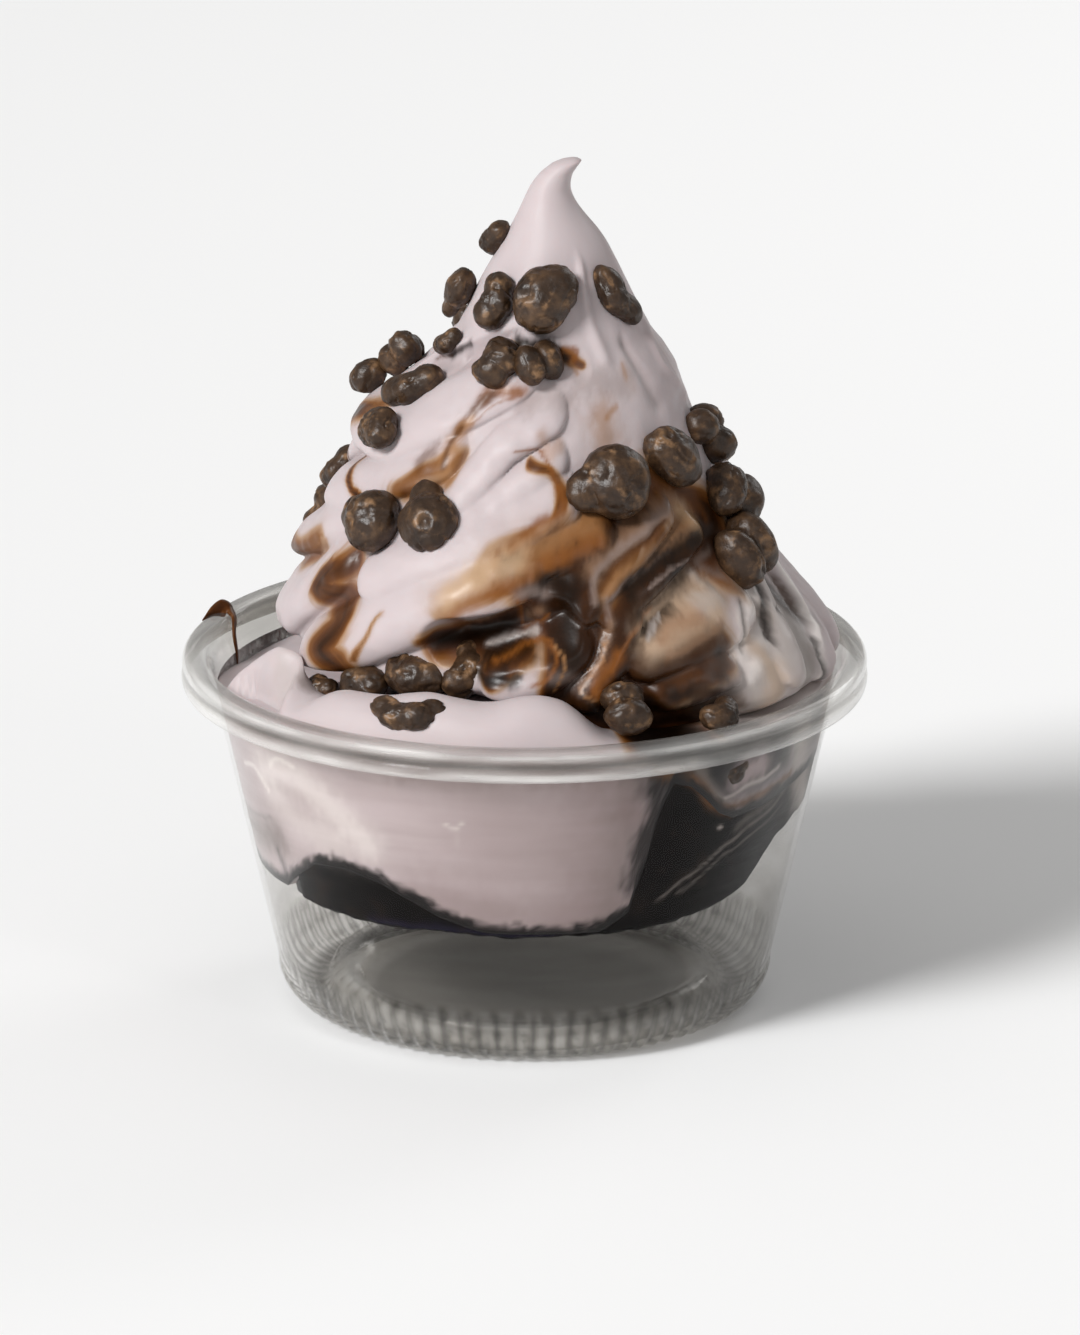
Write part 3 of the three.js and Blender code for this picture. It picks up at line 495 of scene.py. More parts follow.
# Each stroke: colour, half width, strength, how far it stands out, path as (angle, height).
# a toffee stroke of sauce at the left
# painted highlight: a thin white line down the glossy right edge of the cone
# painted shade: a soft ash shadow line down the cone beside a nugget
# painted shade: black in the hollows under the lowest folds at the left
# painted shade: the cone's right side, away from the light, is painted darker in mauve
# the cone: soft folds, stains, a painted shadow line, a painted highlight line, and the sauce round the
# nuggets below it
# the melted folds that drape down to the rim at the right: the white strokes on their ridges are painted
# highlights, and the grey and charcoal strokes in the folds between them are painted shade
SWIRL_PAINT = path_rows(4, """
# the cone: soft folds, stains, and the sauce round the nuggets below it
ash 1.3 0.25 -0.6  47 98.6  50 95  56 90.4
cream 1.3 0.2 0.6  26 109.4  24 104.2  30 97.8
cream 1.1 0.25 0.6  78 100  70 95.4  81 90.2
ash 1.8 0.4 0  16 94.4  28 94.8  38 94
ash 1.4 0.35 -0.3  -9 92.4  -1 93.6  11 92.8
dark 1.2 0.97 0  -22 99.9  -12 99.8  -2 99.2  6 98.2
caramel 0.5 0.8 0  6 99  14 98.6  10 97.2
tan 0.3 0.6 0  10 97.2  14 95.8
caramel 1 0.92 -0.1  -13 94.4  -22 94.6  -28 94.2  -28 92.8
toffee 1.1 0.88 -0.2  -26 93.8  -30 91.6  -32 89.2
tan 1.3 0.85 0  -31 90  -33 86.8  -32 84.4  -32 82.2
toffee 0.5 0.8 0  -32 89.2  -34 86.8  -33 84.4
caramel 0.2 0.55 0  -12 94  -22 92.8  -27 90.4
tan 2.5 0.6 0  26 89.8  27 88.2
tan 0.4 0.6 0  33 91.6  28 90.2
tan 0.4 0.5 0  40 96.6  40 94.8
caramel 0.3 0.8 0  -8 87.2  -3 87.4  2 86.6  4 85.6  7 83.6
tan 0.8 0.45 0  0 89.4  4 87  8 87.6
toffee 1.1 0.6 0  -40 85.8  -43 84
dark 0.6 0.85 -0.2  -70 96  -60 98
toffee 0.3 0.7 0  -83 94.2  -70 96
white 0.2 0.5 0.2  76 107.4  77 103.6  84 100  80 95.8  80 91
# marbled sauce over the middle and the front right, with pale streaks and the beige tongue
cocoa 4.6 0.7 0  8 70  10 63  12 56
cocoa 4 0.6 0  16 72  28 70  38 72  48 74
cocoa 3.4 0.6 0  -12 61.4  -4 64  2 66
cocoa 2 0.92 0  26 76.6  19 75.4  14 73  8 70.8
dark 2 0.96 -0.3  2 71.8  8 70.4  9 68.2  8 63.8  9 60.6
cocoa 1.7 0.94 0  15 67.8  14 63.2  12 59.8  10 56.8
cocoa 1.8 0.88 0  24 67.2  22 64.8  17 61.6
cocoa 2.5 0.92 0  26 61  22 60  26 56.2
toffee 1.6 0.7 0  28 55  33 56.8  39 59
caramel 0.7 0.85 -0.2  8 82.4  9 81.2  8 79.4  2 78.4  -3 76.8  -6 75.4
blush 0.7 0.7 0.2  12 79.4  6 78.2  0 76  -2 75.2
tan 1.7 0.7 0.2  18 77.2  10 76.6  4 75.4  0 74.2
caramel 1.4 0.8 0  18 75.6  12 74.6  5 73.6  0 73.4
honey 1.9 0.65 0.2  -4 73.8  -10 73  -15 71.2  -20 69.2
caramel 1 0.7 0  -1 72.2  -7 70.8  -13 69  -19 67  -22 63.2
ash 1 0.7 0  -4 69.6  -1 70.2  2 69.2
blush 0.9 0.75 0.2  -2 65.2  1 66.2
caramel 0.3 0.8 0  -4 68.8  -4 63.8  1 64.4  3 65.6
dark 1.5 0.9 -0.4  -18 61.6  -11 62.8  -8 63.2
silver 0.4 0.8 0.3  -14 60.6  -8 61.8  0 63.4
dark 0.9 0.9 -0.4  -14 59.6  -8 60.8  -2 61.8
caramel 0.3 0.8 0  -11 59.6  -6 60.8  0 62.4  3 62.2  4 61  2 58.8  -2 57.2
blush 1.2 0.75 0.2  48 79  40 78.2  31 76  22 73.6  16 71.8
ash 0.5 0.75 0.3  44 79.2  37 77.4  28 75  20 72.8  16 71  15 68
tan 1.1 0.75 0.3  50 76  42 74.2  32 72.4  23 70.6  18 68.8
blush 0.7 0.7 0  50 75.6  41 73.8  32 72.8
toffee 0.4 0.8 -0.3  40 77.2  31 74.6  22 72  17 69.2
ash 0.4 0.8 0.2  40 72.8  28 70.4  22 69  19 68
honey 1.2 0.6 0.3  50 77.4  51 75.6
ash 0.5 0.6 0.2  18 68.2  18 65.2
blush 0.5 0.75 0.1  18 65.2  16 62.6
tan 0.2 0.85 0.2  16 62.6  14 60.2  11 57.8  9 56  13 55.2
dark 1.3 0.94 -0.4  50 74.2  42 73  32 70.8  25 68.6
dark 2.1 0.93 -0.3  40 70.6  40 67.2  33 64.8
ash 0.2 0.85 0.2  44 71.4  36 70.2  30 68.6
silver 0.7 0.75 0.2  46 68.4  48 67
dark 0.3 0.85 0  38 65.8  45 66.2  50 66.8
cocoa 0.8 0.75 0  28 67.2  25 64.2  20 61.6  19 59.2
caramel 0.3 0.8 0.2  30 65.8  23 63.6  18 61  16 59
beige 2.6 0.92 0.5  46 65.4  36 64.2  28 62.4
silver 0.9 0.6 0.2  49 66  42 65.4
caramel 0.9 0.45 0  41 64.6  34 63.8  29 62.6
dark 0.6 0.8 -0.3  36 65.2  30 64  26 63
silver 0.2 0.7 0.2  32 64.6  28 63.4  26 62.6
cocoa 1.6 0.75 0  44 62  35 60.2  28 58.6
blush 0.4 0.6 0.2  46 63.4  36 61.4  30 60.4
caramel 1 0.75 0  18 61  14 58.4  12 56.6
caramel 0.7 0.85 0  12 56.6  14 54.8
ash 1.1 0.55 0  4 58.4  8 57.2
tan 0.2 0.8 0  4 62  6 60.4  3 56.2
dark 1.5 0.92 -0.3  30 55  36 55.6  42 54.4
cocoa 1.4 0.85 0  37 58.6  41 57  43 54.6
dark 1.6 0.9 0  12 53.6  24 52.6  36 52.6  41 52.8
toffee 0.7 0.7 0  58 77.6  59 75
ash 0.6 0.5 0  55 71.2  49 69.6  55 67.8
# the melted folds that drape down to the rim at the right
silver 4.6 0.88 0  66 64  60 59.6  50 55.4  49 52
silver 3.2 0.8 0  74 61.5  70 57.6  64 53.6
grey 2.2 0.6 -0.3  74 60.5  70 56.5  66 53
beige 2 0.6 0.3  52 60  54 56  52 52.5
pink 3.4 0.75 0  97 66  90 60  84 54
charcoal 1.7 0.8 -0.5  76 65.5  76 62.6  77 60.4
brown 0.9 0.85 -0.3  81 65  80 62  79 59.6
white 0.55 0.95 0.6  86 66.5  83 62.8  79 59.2  74 55.6  72 51.8
charcoal 0.45 0.85 -0.5  75 57  73 54.6  73 51.8
white 1.1 0.6 0.4  63 64.4  53 62.6  48 58.6
charcoal 0.55 0.92 -0.6  67 65  65 63.2  62 61.8  59 59.6
charcoal 0.3 0.7 -0.4  67 62.2  71 61.4
grey 0.4 0.65 -0.5  56 64.8  52 62  49 59.2
white 0.9 0.55 0.4  51 57.6  48 56.4
charcoal 1.1 0.65 -0.4  43 59.6  41 57.5
brown 1.2 0.7 -0.3  45 53  41 53.8  36 55.6
# dark hollows under the lowest folds at the left
black 1.2 0.8 -0.6  -74 52.6  -62 53  -50 54.4
black 1 0.85 -0.6  -20 57  -12 57.8  -5 58.2
mauve 3.4 0.3 0  78 113  74 108  70 101  72 94
toffee 0.8 0.7 0  -100 79  -97 75.5  -98 72
""")
# Broad changes of colour on the fill's wall side. The mauve and taupe strokes are painted shade: the side is
# painted darker to the right, away from the light, and low in the middle.
FILL_WASH_AND_SHADE = path_rows(4, """
pink 14 0.6 0  -80 36  -40 36  0 36  24 36
mauve 10 0.35 0  -6 46  -4 34  -10 25
mauve 8 0.6 0  17 46  16 34  13 22
mauve 4 0.5 0  -22 26  0 22.6  18 24
taupe 3 0.35 0  21 44  19 34  18 25
taupe 1.8 0.35 0  -64 46.4  -30 45.8  0 46  20 46.2
black 6.5 0.97 0  33 47  45 43  62 44  80 46
brown 6.5 0.8 0  84 47  100 44  116 44
""")
# On the side of the fill and the brownie that shows through the wall: the contents' colours and white smears,
# with painted glints, a painted shadow and painted gloss streaks on the brownie.
# a violet line along the brownie's lower edge
# colours of the dark chunk, the sauce and the cream at the right
# painted highlights: small white glints
# painted reflections: thin grey gloss streaks and a small silver glint on the dark brownie
# painted shadow: mauve beside the dark brownie chunk
# the contents' colours at the left
WALL_PAINT = path_rows(4, """
white 2.8 0.55 0  -60 40  -50 41  -41 38  -33 33.2
white 2.6 0.35 0  -58 36  -50 33  -40 32
white 0.35 0.8 0  -70 38.6  -64 39  -60 36.8
white 0.35 0.8 0  -57 41  -54 42.4  -49 42.2
white 0.22 0.4 0  -15.5 38.2  -13.5 37  -13.4 34.6
white 0.22 0.4 0  -13.5 37  -12 38.4
taupe 2.4 0.75 0  -86 26.2  -72 27.6  -60 29.2
charcoal 0.4 0.3 0  -86 28.8  -74 30.2  -62 31.8
pink 2 0.6 0  -92 24  -76 22.6  -66 23.2
charcoal 0.5 0.35 0  -98 21.4  -82 20.4  -66 20.6
charcoal 0.9 0.7 0  -62 26.6  -60 23.6
mauve 1.8 0.6 0  20.6 40  23 37.6
black 2.1 0.94 0  25.4 47.4  25.8 42.5  25.8 38  24 34  23 28
black 2.2 0.9 0  30 43.6  38 43.4  44 44.8
grey 1.1 0.75 0  32 46.6  35 43.6  38 40.4  42 38.2
black 1 0.9 0  37 45.4  40 42.4  43 39.8
pink 2.1 0.8 0  45 41.8  50 42.4
black 1.8 0.85 0  54 45.6  60 42.4
silver 0.35 0.8 0  42 39  50 39.8  57 40.8
silver 3.2 0.88 0  64 47.4  66 42  70 37  77 32
beige 3.4 0.55 0  80 46  86 42  92 39
fudge 0.9 0.85 0  25 45.4  32 44  36 41.4  38.5 38.8  44 36.9  51 37.1  63 38.4
grey 0.3 0.6 0  29 24.6  36 28  46 31.4  62 35.4
grey 0.22 0.45 0  33 25  42 28.4  52 31  62 33.6
grey 0.7 0.35 0  47 33.2  56 35.4  63 37
silver 0.25 0.9 0  41.5 34.4  41.9 34.1
violet 0.8 0.75 0  -34 20.9  -20 20.8  -6 20.6  6 20.4
""")
# On the fill's top, with the path as (angle, radius): painted shade in the hollow of the curl at the left and
# in the dark gap beside it, a small painted highlight on the crest, a black band of painted shade round the
# foot of the swirl, and the pale sheet at the right.
TOP_PAINT = path_rows(4, """
silver 1.5 0.45 0  -60.5 39.2  -58.5 39.2  -56.5 39.5
taupe 1.3 0.7 0  -53.5 38.6  -52.5 37.2  -54 35.6
white 0.5 0.6 0  -44 38.6  -42 38.2  -40 38.3
black 1.6 0.75 0  -52 34.6  -38 33.6  -20 33.4  0 33.6  12 34.4
silver 4.5 0.8 0  47 41  60 41  76 41
""")


def paint_over(strokes, angle, height, points, radius=None):
    """The strokes' colour at each place times their cover there, the cover, and how far they stand out."""
    wander = 0.45 * layered_noise(points, 0.35, 7, 2)
    feather = 0.30 * noise(points * (1.0, 1.0, 0.45), 1.1, 19)
    feather += 0.22 * noise(points * (1.0, 1.0, 0.4), 2.6, 23)
    color, cover, relief = np.zeros((len(angle), 3)), np.zeros(len(angle)), np.zeros(len(angle))
    for name, half, strength, stand_out, path in strokes:
        around = radius or float(core_radius(np.mean([p[1] for p in path]))) + 4
        near = near_path(angle, height, path, 2 * half + 1, around)
        distance, _ = path_distance(angle[near], (height + wander)[near], smooth_path(path), around)
        frayed = distance / half + feather[near] * min(1.0, 2.0 / half)
        share = strength * np.exp(-0.9 * np.maximum(0, frayed) ** 2.2)
        color[near] += share[:, None] * (np.array(PAINTS[name]) - color[near])
        cover[near] += share * (1 - cover[near])
        relief[near] += stand_out * np.exp(-1.2 * (distance / half) ** 2)
    return color, cover, relief


def crease_amount(angle, height):
    """How deep in a crease between strands each place of the swirl lies, 0 to 1."""
    here = swirl_radius(angle, height)
    upright = (swirl_radius(angle, height + 3.0) + swirl_radius(angle, height - 3.0)) / 2 - here
    sideways = (swirl_radius(angle + 7, height) + swirl_radius(angle - 7, height)) / 2 - here
    return smooth(np.maximum(upright, sideways) / 2.4) * smooth((height - 44) / 4)


# ---------- materials ----------
def new_material(name):
    material = bpy.data.materials.new(name)
    material.use_nodes = True
    tree = material.node_tree
    shader = tree.nodes["Principled BSDF"]
    return material, tree, shader


def plug(tree, target, inputs):
    """Sets a node's inputs. Each is a value or the socket that feeds it."""
    for key, value in inputs.items():
        if isinstance(value, bpy.types.NodeSocket):
            tree.links.new(value, target.inputs[key])
        else:
            target.inputs[key].default_value = value


def node(tree, kind, inputs=None, **settings):
    """A new node with its settings and inputs."""
    made = tree.nodes.new(kind)
    for key, value in settings.items():
        setattr(made, key, value)
    plug(tree, made, inputs or {})
    return made


def attribute(tree, name, output="Fac"):
    return node(tree, "ShaderNodeAttribute", attribute_name=name).outputs[output]


def object_place(tree):
    return node(tree, "ShaderNodeTexCoord").outputs["Object"]


def noise_texture(tree, vector, scale, detail, **others):
    inputs = {"Vector": vector, "Scale": scale, "Detail": detail, **others}
    return node(tree, "ShaderNodeTexNoise", inputs).outputs["Fac"]


def remap(tree, value, to, source=(0.0, 1.0)):
    inputs = {"Value": value, "From Min": source[0], "From Max": source[1], "To Min": to[0], "To Max": to[1]}
    return node(tree, "ShaderNodeMapRange", inputs).outputs[0]


def bumped(tree, height, strength, distance):
    inputs = {"Height": height, "Strength": strength, "Distance": distance}
    return node(tree, "ShaderNodeBump", inputs).outputs[0]


def mix_color(tree, factor, first, second, blend_type="MIX"):
    inputs = {"Factor": factor, 6: first, 7: second}
    return node(tree, "ShaderNodeMix", inputs, data_type="RGBA", blend_type=blend_type).outputs[2]


def math_node(tree, operation, first, second, clamp=False):
    inputs = {0: first, 1: second}
    return node(tree, "ShaderNodeMath", inputs, operation=operation, use_clamp=clamp).outputs[0]


def ramp(tree, factor, stops):
    made = node(tree, "ShaderNodeValToRGB", {"Fac": factor})
    elements = made.color_ramp.elements
    while len(elements) < len(stops):
        elements.new(0.5)
    for element, (position, color) in zip(elements, stops):
        element.position = position
        element.color = (*color, 1.0)
    return made.outputs["Color"]


def painted(tree, base):
    """The base colour under the piece's painted strokes, and how far they cover it."""
    cover = attribute(tree, "cover")
    bare = mix_color(tree, cover, base, (0, 0, 0, 1))
    paint = attribute(tree, "paint", "Vector")
    return node(tree, "ShaderNodeVectorMath", {0: bare, 1: paint}, operation="ADD").outputs[0], cover


def ice_cream_material():
    material, tree, shader = new_material("ice_cream_with_sauce")
    place = object_place(tree)
    sauce = attribute(tree, "sauce")
    streaky = noise_texture(tree, attribute(tree, "flow", "Vector"), 1.15, 1.6, Roughness=0.5, Distortion=0.4)
    # marbling: the streaks thin the sauce most where it is neither full nor absent
    middling = math_node(tree, "MULTIPLY", math_node(tree, "SUBTRACT", 1.12, sauce), sauce)
    swing = math_node(tree, "MULTIPLY", math_node(tree, "SUBTRACT", streaky, 0.5), 2.4)
    marbled = math_node(tree, "ADD", sauce, math_node(tree, "MULTIPLY", swing, middling), clamp=True)
    color = ramp(tree, marbled, [
        (0.00, rgb(190, 179, 180)), (0.12, rgb(183, 169, 167)), (0.27, rgb(158, 128, 102)),
        (0.42, rgb(120, 77, 38)), (0.58, rgb(86, 48, 16)), (0.78, rgb(50, 26, 7)), (1.00, rgb(25, 12, 4)),
    ])
    spots = noise_texture(tree, place, 90.0, 2.0)
    mottling = ramp(tree, spots, [(0.3, rgb(190, 172, 178)), (0.7, rgb(240, 234, 230))])
    finished, cover = painted(tree, mix_color(tree, 0.14, color, mottling, "MULTIPLY"))
    wet = math_node(tree, "ADD", marbled, cover, clamp=True)
    fine = math_node(tree, "MULTIPLY", noise_texture(tree, place, 900.0, 3.0), 0.25)
    height = math_node(tree, "ADD", fine, math_node(tree, "MULTIPLY", marbled, 0.5))
    plug(tree, shader, {
        "Base Color": finished,
        "Roughness": remap(tree, wet, (0.46, 0.33), (0.2, 0.7)),
        "Subsurface Weight": remap(tree, wet, (0.40, 0.06), (0.1, 0.6)),
        "Subsurface Radius": (1.0, 0.62, 0.55),
        "Subsurface Scale": 0.0012,
        "Specular IOR Level": 0.24,
        "Normal": bumped(tree, height, 0.35, 0.0003),
    })
    return material


def brownie_material():
    material, tree, shader = new_material("brownie_crumb")
    place = object_place(tree)
    grain = noise_texture(tree, place, 260.0, 5.0, Roughness=0.6)
    patches = math_node(tree, "MULTIPLY", noise_texture(tree, place, 70.0, 3.0), 0.5)
    mixed = math_node(tree, "ADD", math_node(tree, "MULTIPLY", grain, 0.6), patches)
    color = ramp(tree, mixed, [(0.35, rgb(5, 4, 4)), (0.60, rgb(14, 11, 11)), (0.80, rgb(38, 29, 24))])
    plug(tree, shader, {
        "Base Color": painted(tree, color)[0],
        "Roughness": remap(tree, grain, (0.38, 0.62)),
        "Specular IOR Level": 0.06,
        "Normal": bumped(tree, grain, 0.15, 0.0004),
    })
    return material


def nugget_material():
    material, tree, shader = new_material("chocolate_nugget")
    place = object_place(tree)
    grain = noise_texture(tree, place, 420.0, 5.0, Roughness=0.6)
    speck = math_node(tree, "MULTIPLY", noise_texture(tree, place, 1500.0, 3.0), 0.3)
    body = ramp(tree, grain, [(0.25, rgb(30, 19, 11)), (0.5, rgb(54, 37, 23)), (0.75, rgb(88, 64, 42))])
    worn_grain = remap(tree, grain, (0.0, 1.0), (0.46, 0.70))
    worn = math_node(tree, "MULTIPLY", attribute(tree, "scuff"), worn_grain, clamp=True)
    plug(tree, shader, {
        "Base Color": mix_color(tree, worn, body, (*rgb(148, 113, 80), 1)),
        "Roughness": remap(tree, grain, (0.30, 0.50)),
        "Specular IOR Level": 0.38,
        "Normal": bumped(tree, math_node(tree, "ADD", speck, grain), 0.5, 0.0004),
    })
    return material


def cup_material():
    """Thin clear plastic: light passes straight through each skin, a little greyer, under a gloss."""
    material, tree, _ = new_material("clear_plastic")
    tree.nodes.clear()
    stretch = {0: object_place(tree), 1: (1.0, 1.0, 9.0)}
    drawn_out = node(tree, "ShaderNodeVectorMath", stretch, operation="MULTIPLY").outputs[0]
    ripple = noise_texture(tree, drawn_out, 60.0, 2.5)
    bump = bumped(tree, ripple, 0.11, 0.001)
    uneven = remap(tree, ripple, (0.96, 1.03), (0.3, 0.7))
    tint = ramp(tree, math_node(tree, "MULTIPLY", attribute(tree, "tone_and_shade"), uneven, clamp=True), [
        (0.0, (0, 0, 0)), (0.8, (0.80, 0.788, 0.768)), (1.0, (1.0, 1.0, 1.0)),
    ])
    clear = node(tree, "ShaderNodeBsdfTransparent", {"Color": tint}).outputs[0]
    sheen = {"Color": (1, 1, 1, 1), "Roughness": 0.05, "Normal": bump}
    gloss = node(tree, "ShaderNodeBsdfGlossy", sheen).outputs[0]
    milk = node(tree, "ShaderNodeBsdfDiffuse", {"Color": (0.86, 0.85, 0.83, 1)}).outputs[0]
    facing = node(tree, "ShaderNodeLayerWeight", {"Blend": 0.5, "Normal": bump}).outputs["Facing"]
    edge = math_node(tree, "MULTIPLY", math_node(tree, "POWER", facing, 4.5), 0.85)
    share = math_node(tree, "ADD", edge, 0.004, clamp=True)
    streaks = remap(tree, ripple, (0.4, 1.6), (0.3, 0.7))
    milkiness = math_node(tree, "MULTIPLY", attribute(tree, "haze"), streaks, clamp=True)
    body = node(tree, "ShaderNodeMixShader", {0: milkiness, 1: clear, 2: milk}).outputs[0]
    mixed = node(tree, "ShaderNodeMixShader", {0: share, 1: body, 2: gloss}).outputs[0]
    node(tree, "ShaderNodeOutputMaterial", {"Surface": mixed})
    return material


# ---------- pieces ----------
ICE_CREAM = ice_cream_material()
BROWNIE = brownie_material()
NUGGET = nugget_material()
CLEAR = cup_material()


def finish_piece(piece, material, slot, *nodes):
    piece.data.materials.append(material)
    if nodes:
        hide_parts(*nodes)
    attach(piece, "root")


def make_swirl():
    columns, rows = 440, 205
    share = np.linspace(0, 1, rows)
    height = SWIRL_BOTTOM + (TIP_HEIGHT - 0.1 - SWIRL_BOTTOM) * (1 - (1 - share) ** 1.08)
    angles, heights = (grid.ravel() for grid in np.meshgrid(round_angles(columns), height))
    points = swirl_point(angles, heights)
    sauce, flow = streak_amount(angles, heights, points)
    paint, cover, stand_out = paint_over(SWIRL_PAINT, angles, heights, points)
    # painted shade: the ice cream is painted a little darker, in mauve, in the creases between strands, under
    # the strokes
    crease_shade = 0.40 * crease_amount(angles, heights) * (1 - cover) * (1 - sauce)
    paint += crease_shade[:, None] * np.array(PAINTS["mauve"])
    cover += crease_shade
    calm = smooth((112 - heights) / 20)
    waves = 0.35 * layered_noise(points, 0.12, 2) * calm + 0.10 * noise(points, 0.55, 3) * calm
    relief = waves + 0.18 * sauce + stand_out
    points = points + polar(angles, 1.0, 0.0) * relief[:, None]
    tip = swirl_point(np.array(0.0), np.array(TIP_HEIGHT))
    looks = {"sauce": sauce, "flow": flow, "paint": paint, "cover": cover}
    rings = points.reshape(rows, columns, 3)
    piece = closed_mesh("ice_cream_swirl", rings, [2, 0, SWIRL_BOTTOM], tip, looks)
    finish_piece(piece, ICE_CREAM, "ice_cream", "ice_cream")


# The fill's top is made of rings from the wall inwards, closest where the crest and the curl are.
TOP_RINGS = np.concatenate([
    np.linspace(44.0, 41.2, 12), np.linspace(41.0, 37.6, 30), np.linspace(37.3, 26.0, 24),
])
TOP_STARTS_AT = 46.0
CURL_ANGLE = -58
CURL_RADIUS = 39.4


def make_fill():
    angle = round_angles(360)
    top_at_wall = table_at(BROWNIE_EDGE, angle, 2)
    lower = table_at(BROWNIE_EDGE, angle, 1) + 0.8 - 1.4 * smooth((30 - np.abs(wrap(angle + 82))) / 10)
    rings, sauce, wall_side = [], [], []

    def add(radius, height, amount=0.0, on_wall=0.0):
        rings.append(polar(angle, radius, height))
        sauce.append(np.broadcast_to(amount, angle.shape))
        wall_side.append(np.broadcast_to(on_wall, angle.shape))

    # the wall side, from the brownie's top up
    bottom = np.maximum(top_at_wall - 1.2, lower)
    for inset in (3.0, 0.5):
        add(inner_radius(bottom) - inset, bottom + 0.1 * inset)
    for share in np.linspace(0, 1, 60):
        height = bottom + (TOP_STARTS_AT - bottom) * share
        add(inner_radius(height) + INTO_WALL, height, on_wall=1.0)
    for radius in TOP_RINGS:
        height = bed_top(angle, np.full(len(angle), radius))
        dish = 1.5 * smooth((height - 49.8) / 2) * smooth((2.4 - abs(radius - CURL_RADIUS)) / 1.6)
        radius = radius - dish * np.exp(-(((angle - CURL_ANGLE) / 2.9) ** 2))
        fitted = np.minimum(radius, inner_radius(height) + INTO_WALL)
        place = polar(angle, fitted, height)
        height = height + 0.5 * layered_noise(place, 0.1, 4) * smooth((44 - radius) / 3)
        pool = smooth((angle + 2 * layered_noise(place, 0.15, 8) - 17) / 6) * smooth((44 - angle) / 9)
        add(fitted, height, pool, smooth((fitted - inner_radius(height) + 0.6) / 0.5))
    rings = np.array(rings)
    points = rings.reshape(-1, 3)
    angles = np.tile(angle, len(rings))
    paint, cover, _ = paint_over(FILL_WASH_AND_SHADE + WALL_PAINT, angles, points[:, 2], points, WALL_RADIUS)
    top_paint, top_cover, _ = paint_over(TOP_PAINT, angles, out_from_axis(points), points, CREST_RADIUS)
    # crumbs: the ice cream darkens in an uneven edge where it meets the brownie
    depth = points[:, 2] - np.tile(top_at_wall, len(rings))
    uneven = 0.8 * layered_noise(points, 0.35, 41, 3) + 0.5 * noise(points, 1.4, 43)
    crumbs = smooth((1.3 + uneven - depth) / 1.7) * (0.25 + 0.75 * smooth((uneven + 1.6 - depth) / 1.2))
    paint += crumbs[:, None] * (np.array(PAINTS["black"]) - paint)
    cover += crumbs * (1 - cover)
    on_wall = np.array(wall_side).ravel()
    paint = paint * on_wall[:, None] + top_paint * (1 - on_wall[:, None])
    cover = cover * on_wall + top_cover * (1 - on_wall)
    flow = points * (0.12, 0.12, 0.5)
    looks = {"sauce": np.array(sauce).ravel(), "flow": flow, "paint": paint, "cover": cover}
    piece = closed_mesh("ice_cream_fill", rings, [0, 0, 30], [0, 0, 50], looks)
    finish_piece(piece, ICE_CREAM, "ice_cream", "ice_cream")


def make_brownie():
    angle = round_angles(300)
    base, edge, inset = (table_at(BROWNIE_EDGE, angle, column) for column in (1, 2, 3))
    inset = np.where(inset < 0.5, -BROWNIE_INTO_WALL, inset)
    rings = []
    for share in np.linspace(0.05, 0.94, 40):
        height = BROWNIE_BASE + (base - BROWNIE_BASE) * smooth((share - 0.7) / 0.24)
        rings.append(polar(angle, share * inner_radius(BROWNIE_BASE), height))
    rings.append(polar(angle, inner_radius(base) - inset - 0.5, base + 0.1))
    for share in np.linspace(0, 1, 40):
        height = base + 0.6 + (edge - base - 0.6) * share
        rings.append(polar(angle, inner_radius(height) - inset, height))
    for share in np.linspace(0.97, 0.05, 40):
        height = BROWNIE_MIDDLE + (edge - BROWNIE_MIDDLE) * smooth(share)
        rings.append(polar(angle, share * (inner_radius(edge) - inset), height))
    points = np.array(rings).reshape(-1, 3)
    radius, height = out_from_axis(points), points[:, 2]
    paint, cover, _ = paint_over(WALL_PAINT, np.tile(angle, len(rings)), height, points, WALL_RADIUS)
    on_wall = smooth((radius - inner_radius(height) + 0.4) / 0.3)
    # a crumb that stands up on the wall side follows the wall outwards
    crumbs = 0.5 * layered_noise(points, 0.5, 31, 4)
    along_wall = 1 + on_wall * (inner_radius(height + crumbs) - inner_radius(height)) / np.maximum(radius, 1)
    points = np.stack([points[:, 0] * along_wall, points[:, 1] * along_wall, height + crumbs], -1)
    looks = {"paint": paint * on_wall[:, None], "cover": cover * on_wall}
    rings = points.reshape(len(rings), -1, 3)
    piece = closed_mesh("brownie_crumb", rings, [0, 0, BROWNIE_BASE], [0, 0, BROWNIE_MIDDLE], looks)
    finish_piece(piece, BROWNIE, "brownie", "brownie")


# Half section of the cup as (radius, height), as in the frame, and the ribs on its heel.
CUP_SECTION = [
    (0.2, 1.3), (23.2, 1.3), (25.4, 3.9), (27.0, 3.9), (28.2, 0), (30.6, 0), (32.6, 0.9), (34.1, 2.4),
    (34.95, 4.4), (35.58, 7.0), (39.0, 22.0), (43.94, 44.0), (45.3, 49.4), (47.6, 49.9), (47.7, 48.3),
    (48.1, 46.4), (48.8, 46.5), (49.0, 47.8), (48.4, 48.7), (49.0, 49.6), (48.3, 51.0), (46.5, 51.2),
    (45.2, 50.6), (44.1, 46.9), (43.15, 43.6), (39.0, 25.2), (34.93, 7.2), (34.2, 4.8), (32.8, 2.0),
    (30.4, 0.7), (28.7, 0.7), (27.5, 4.6), (25.0, 4.6), (22.8, 2.0), (0.2, 2.0),
]
RIB_COUNT = 84
RIB_HEIGHT = 0.45
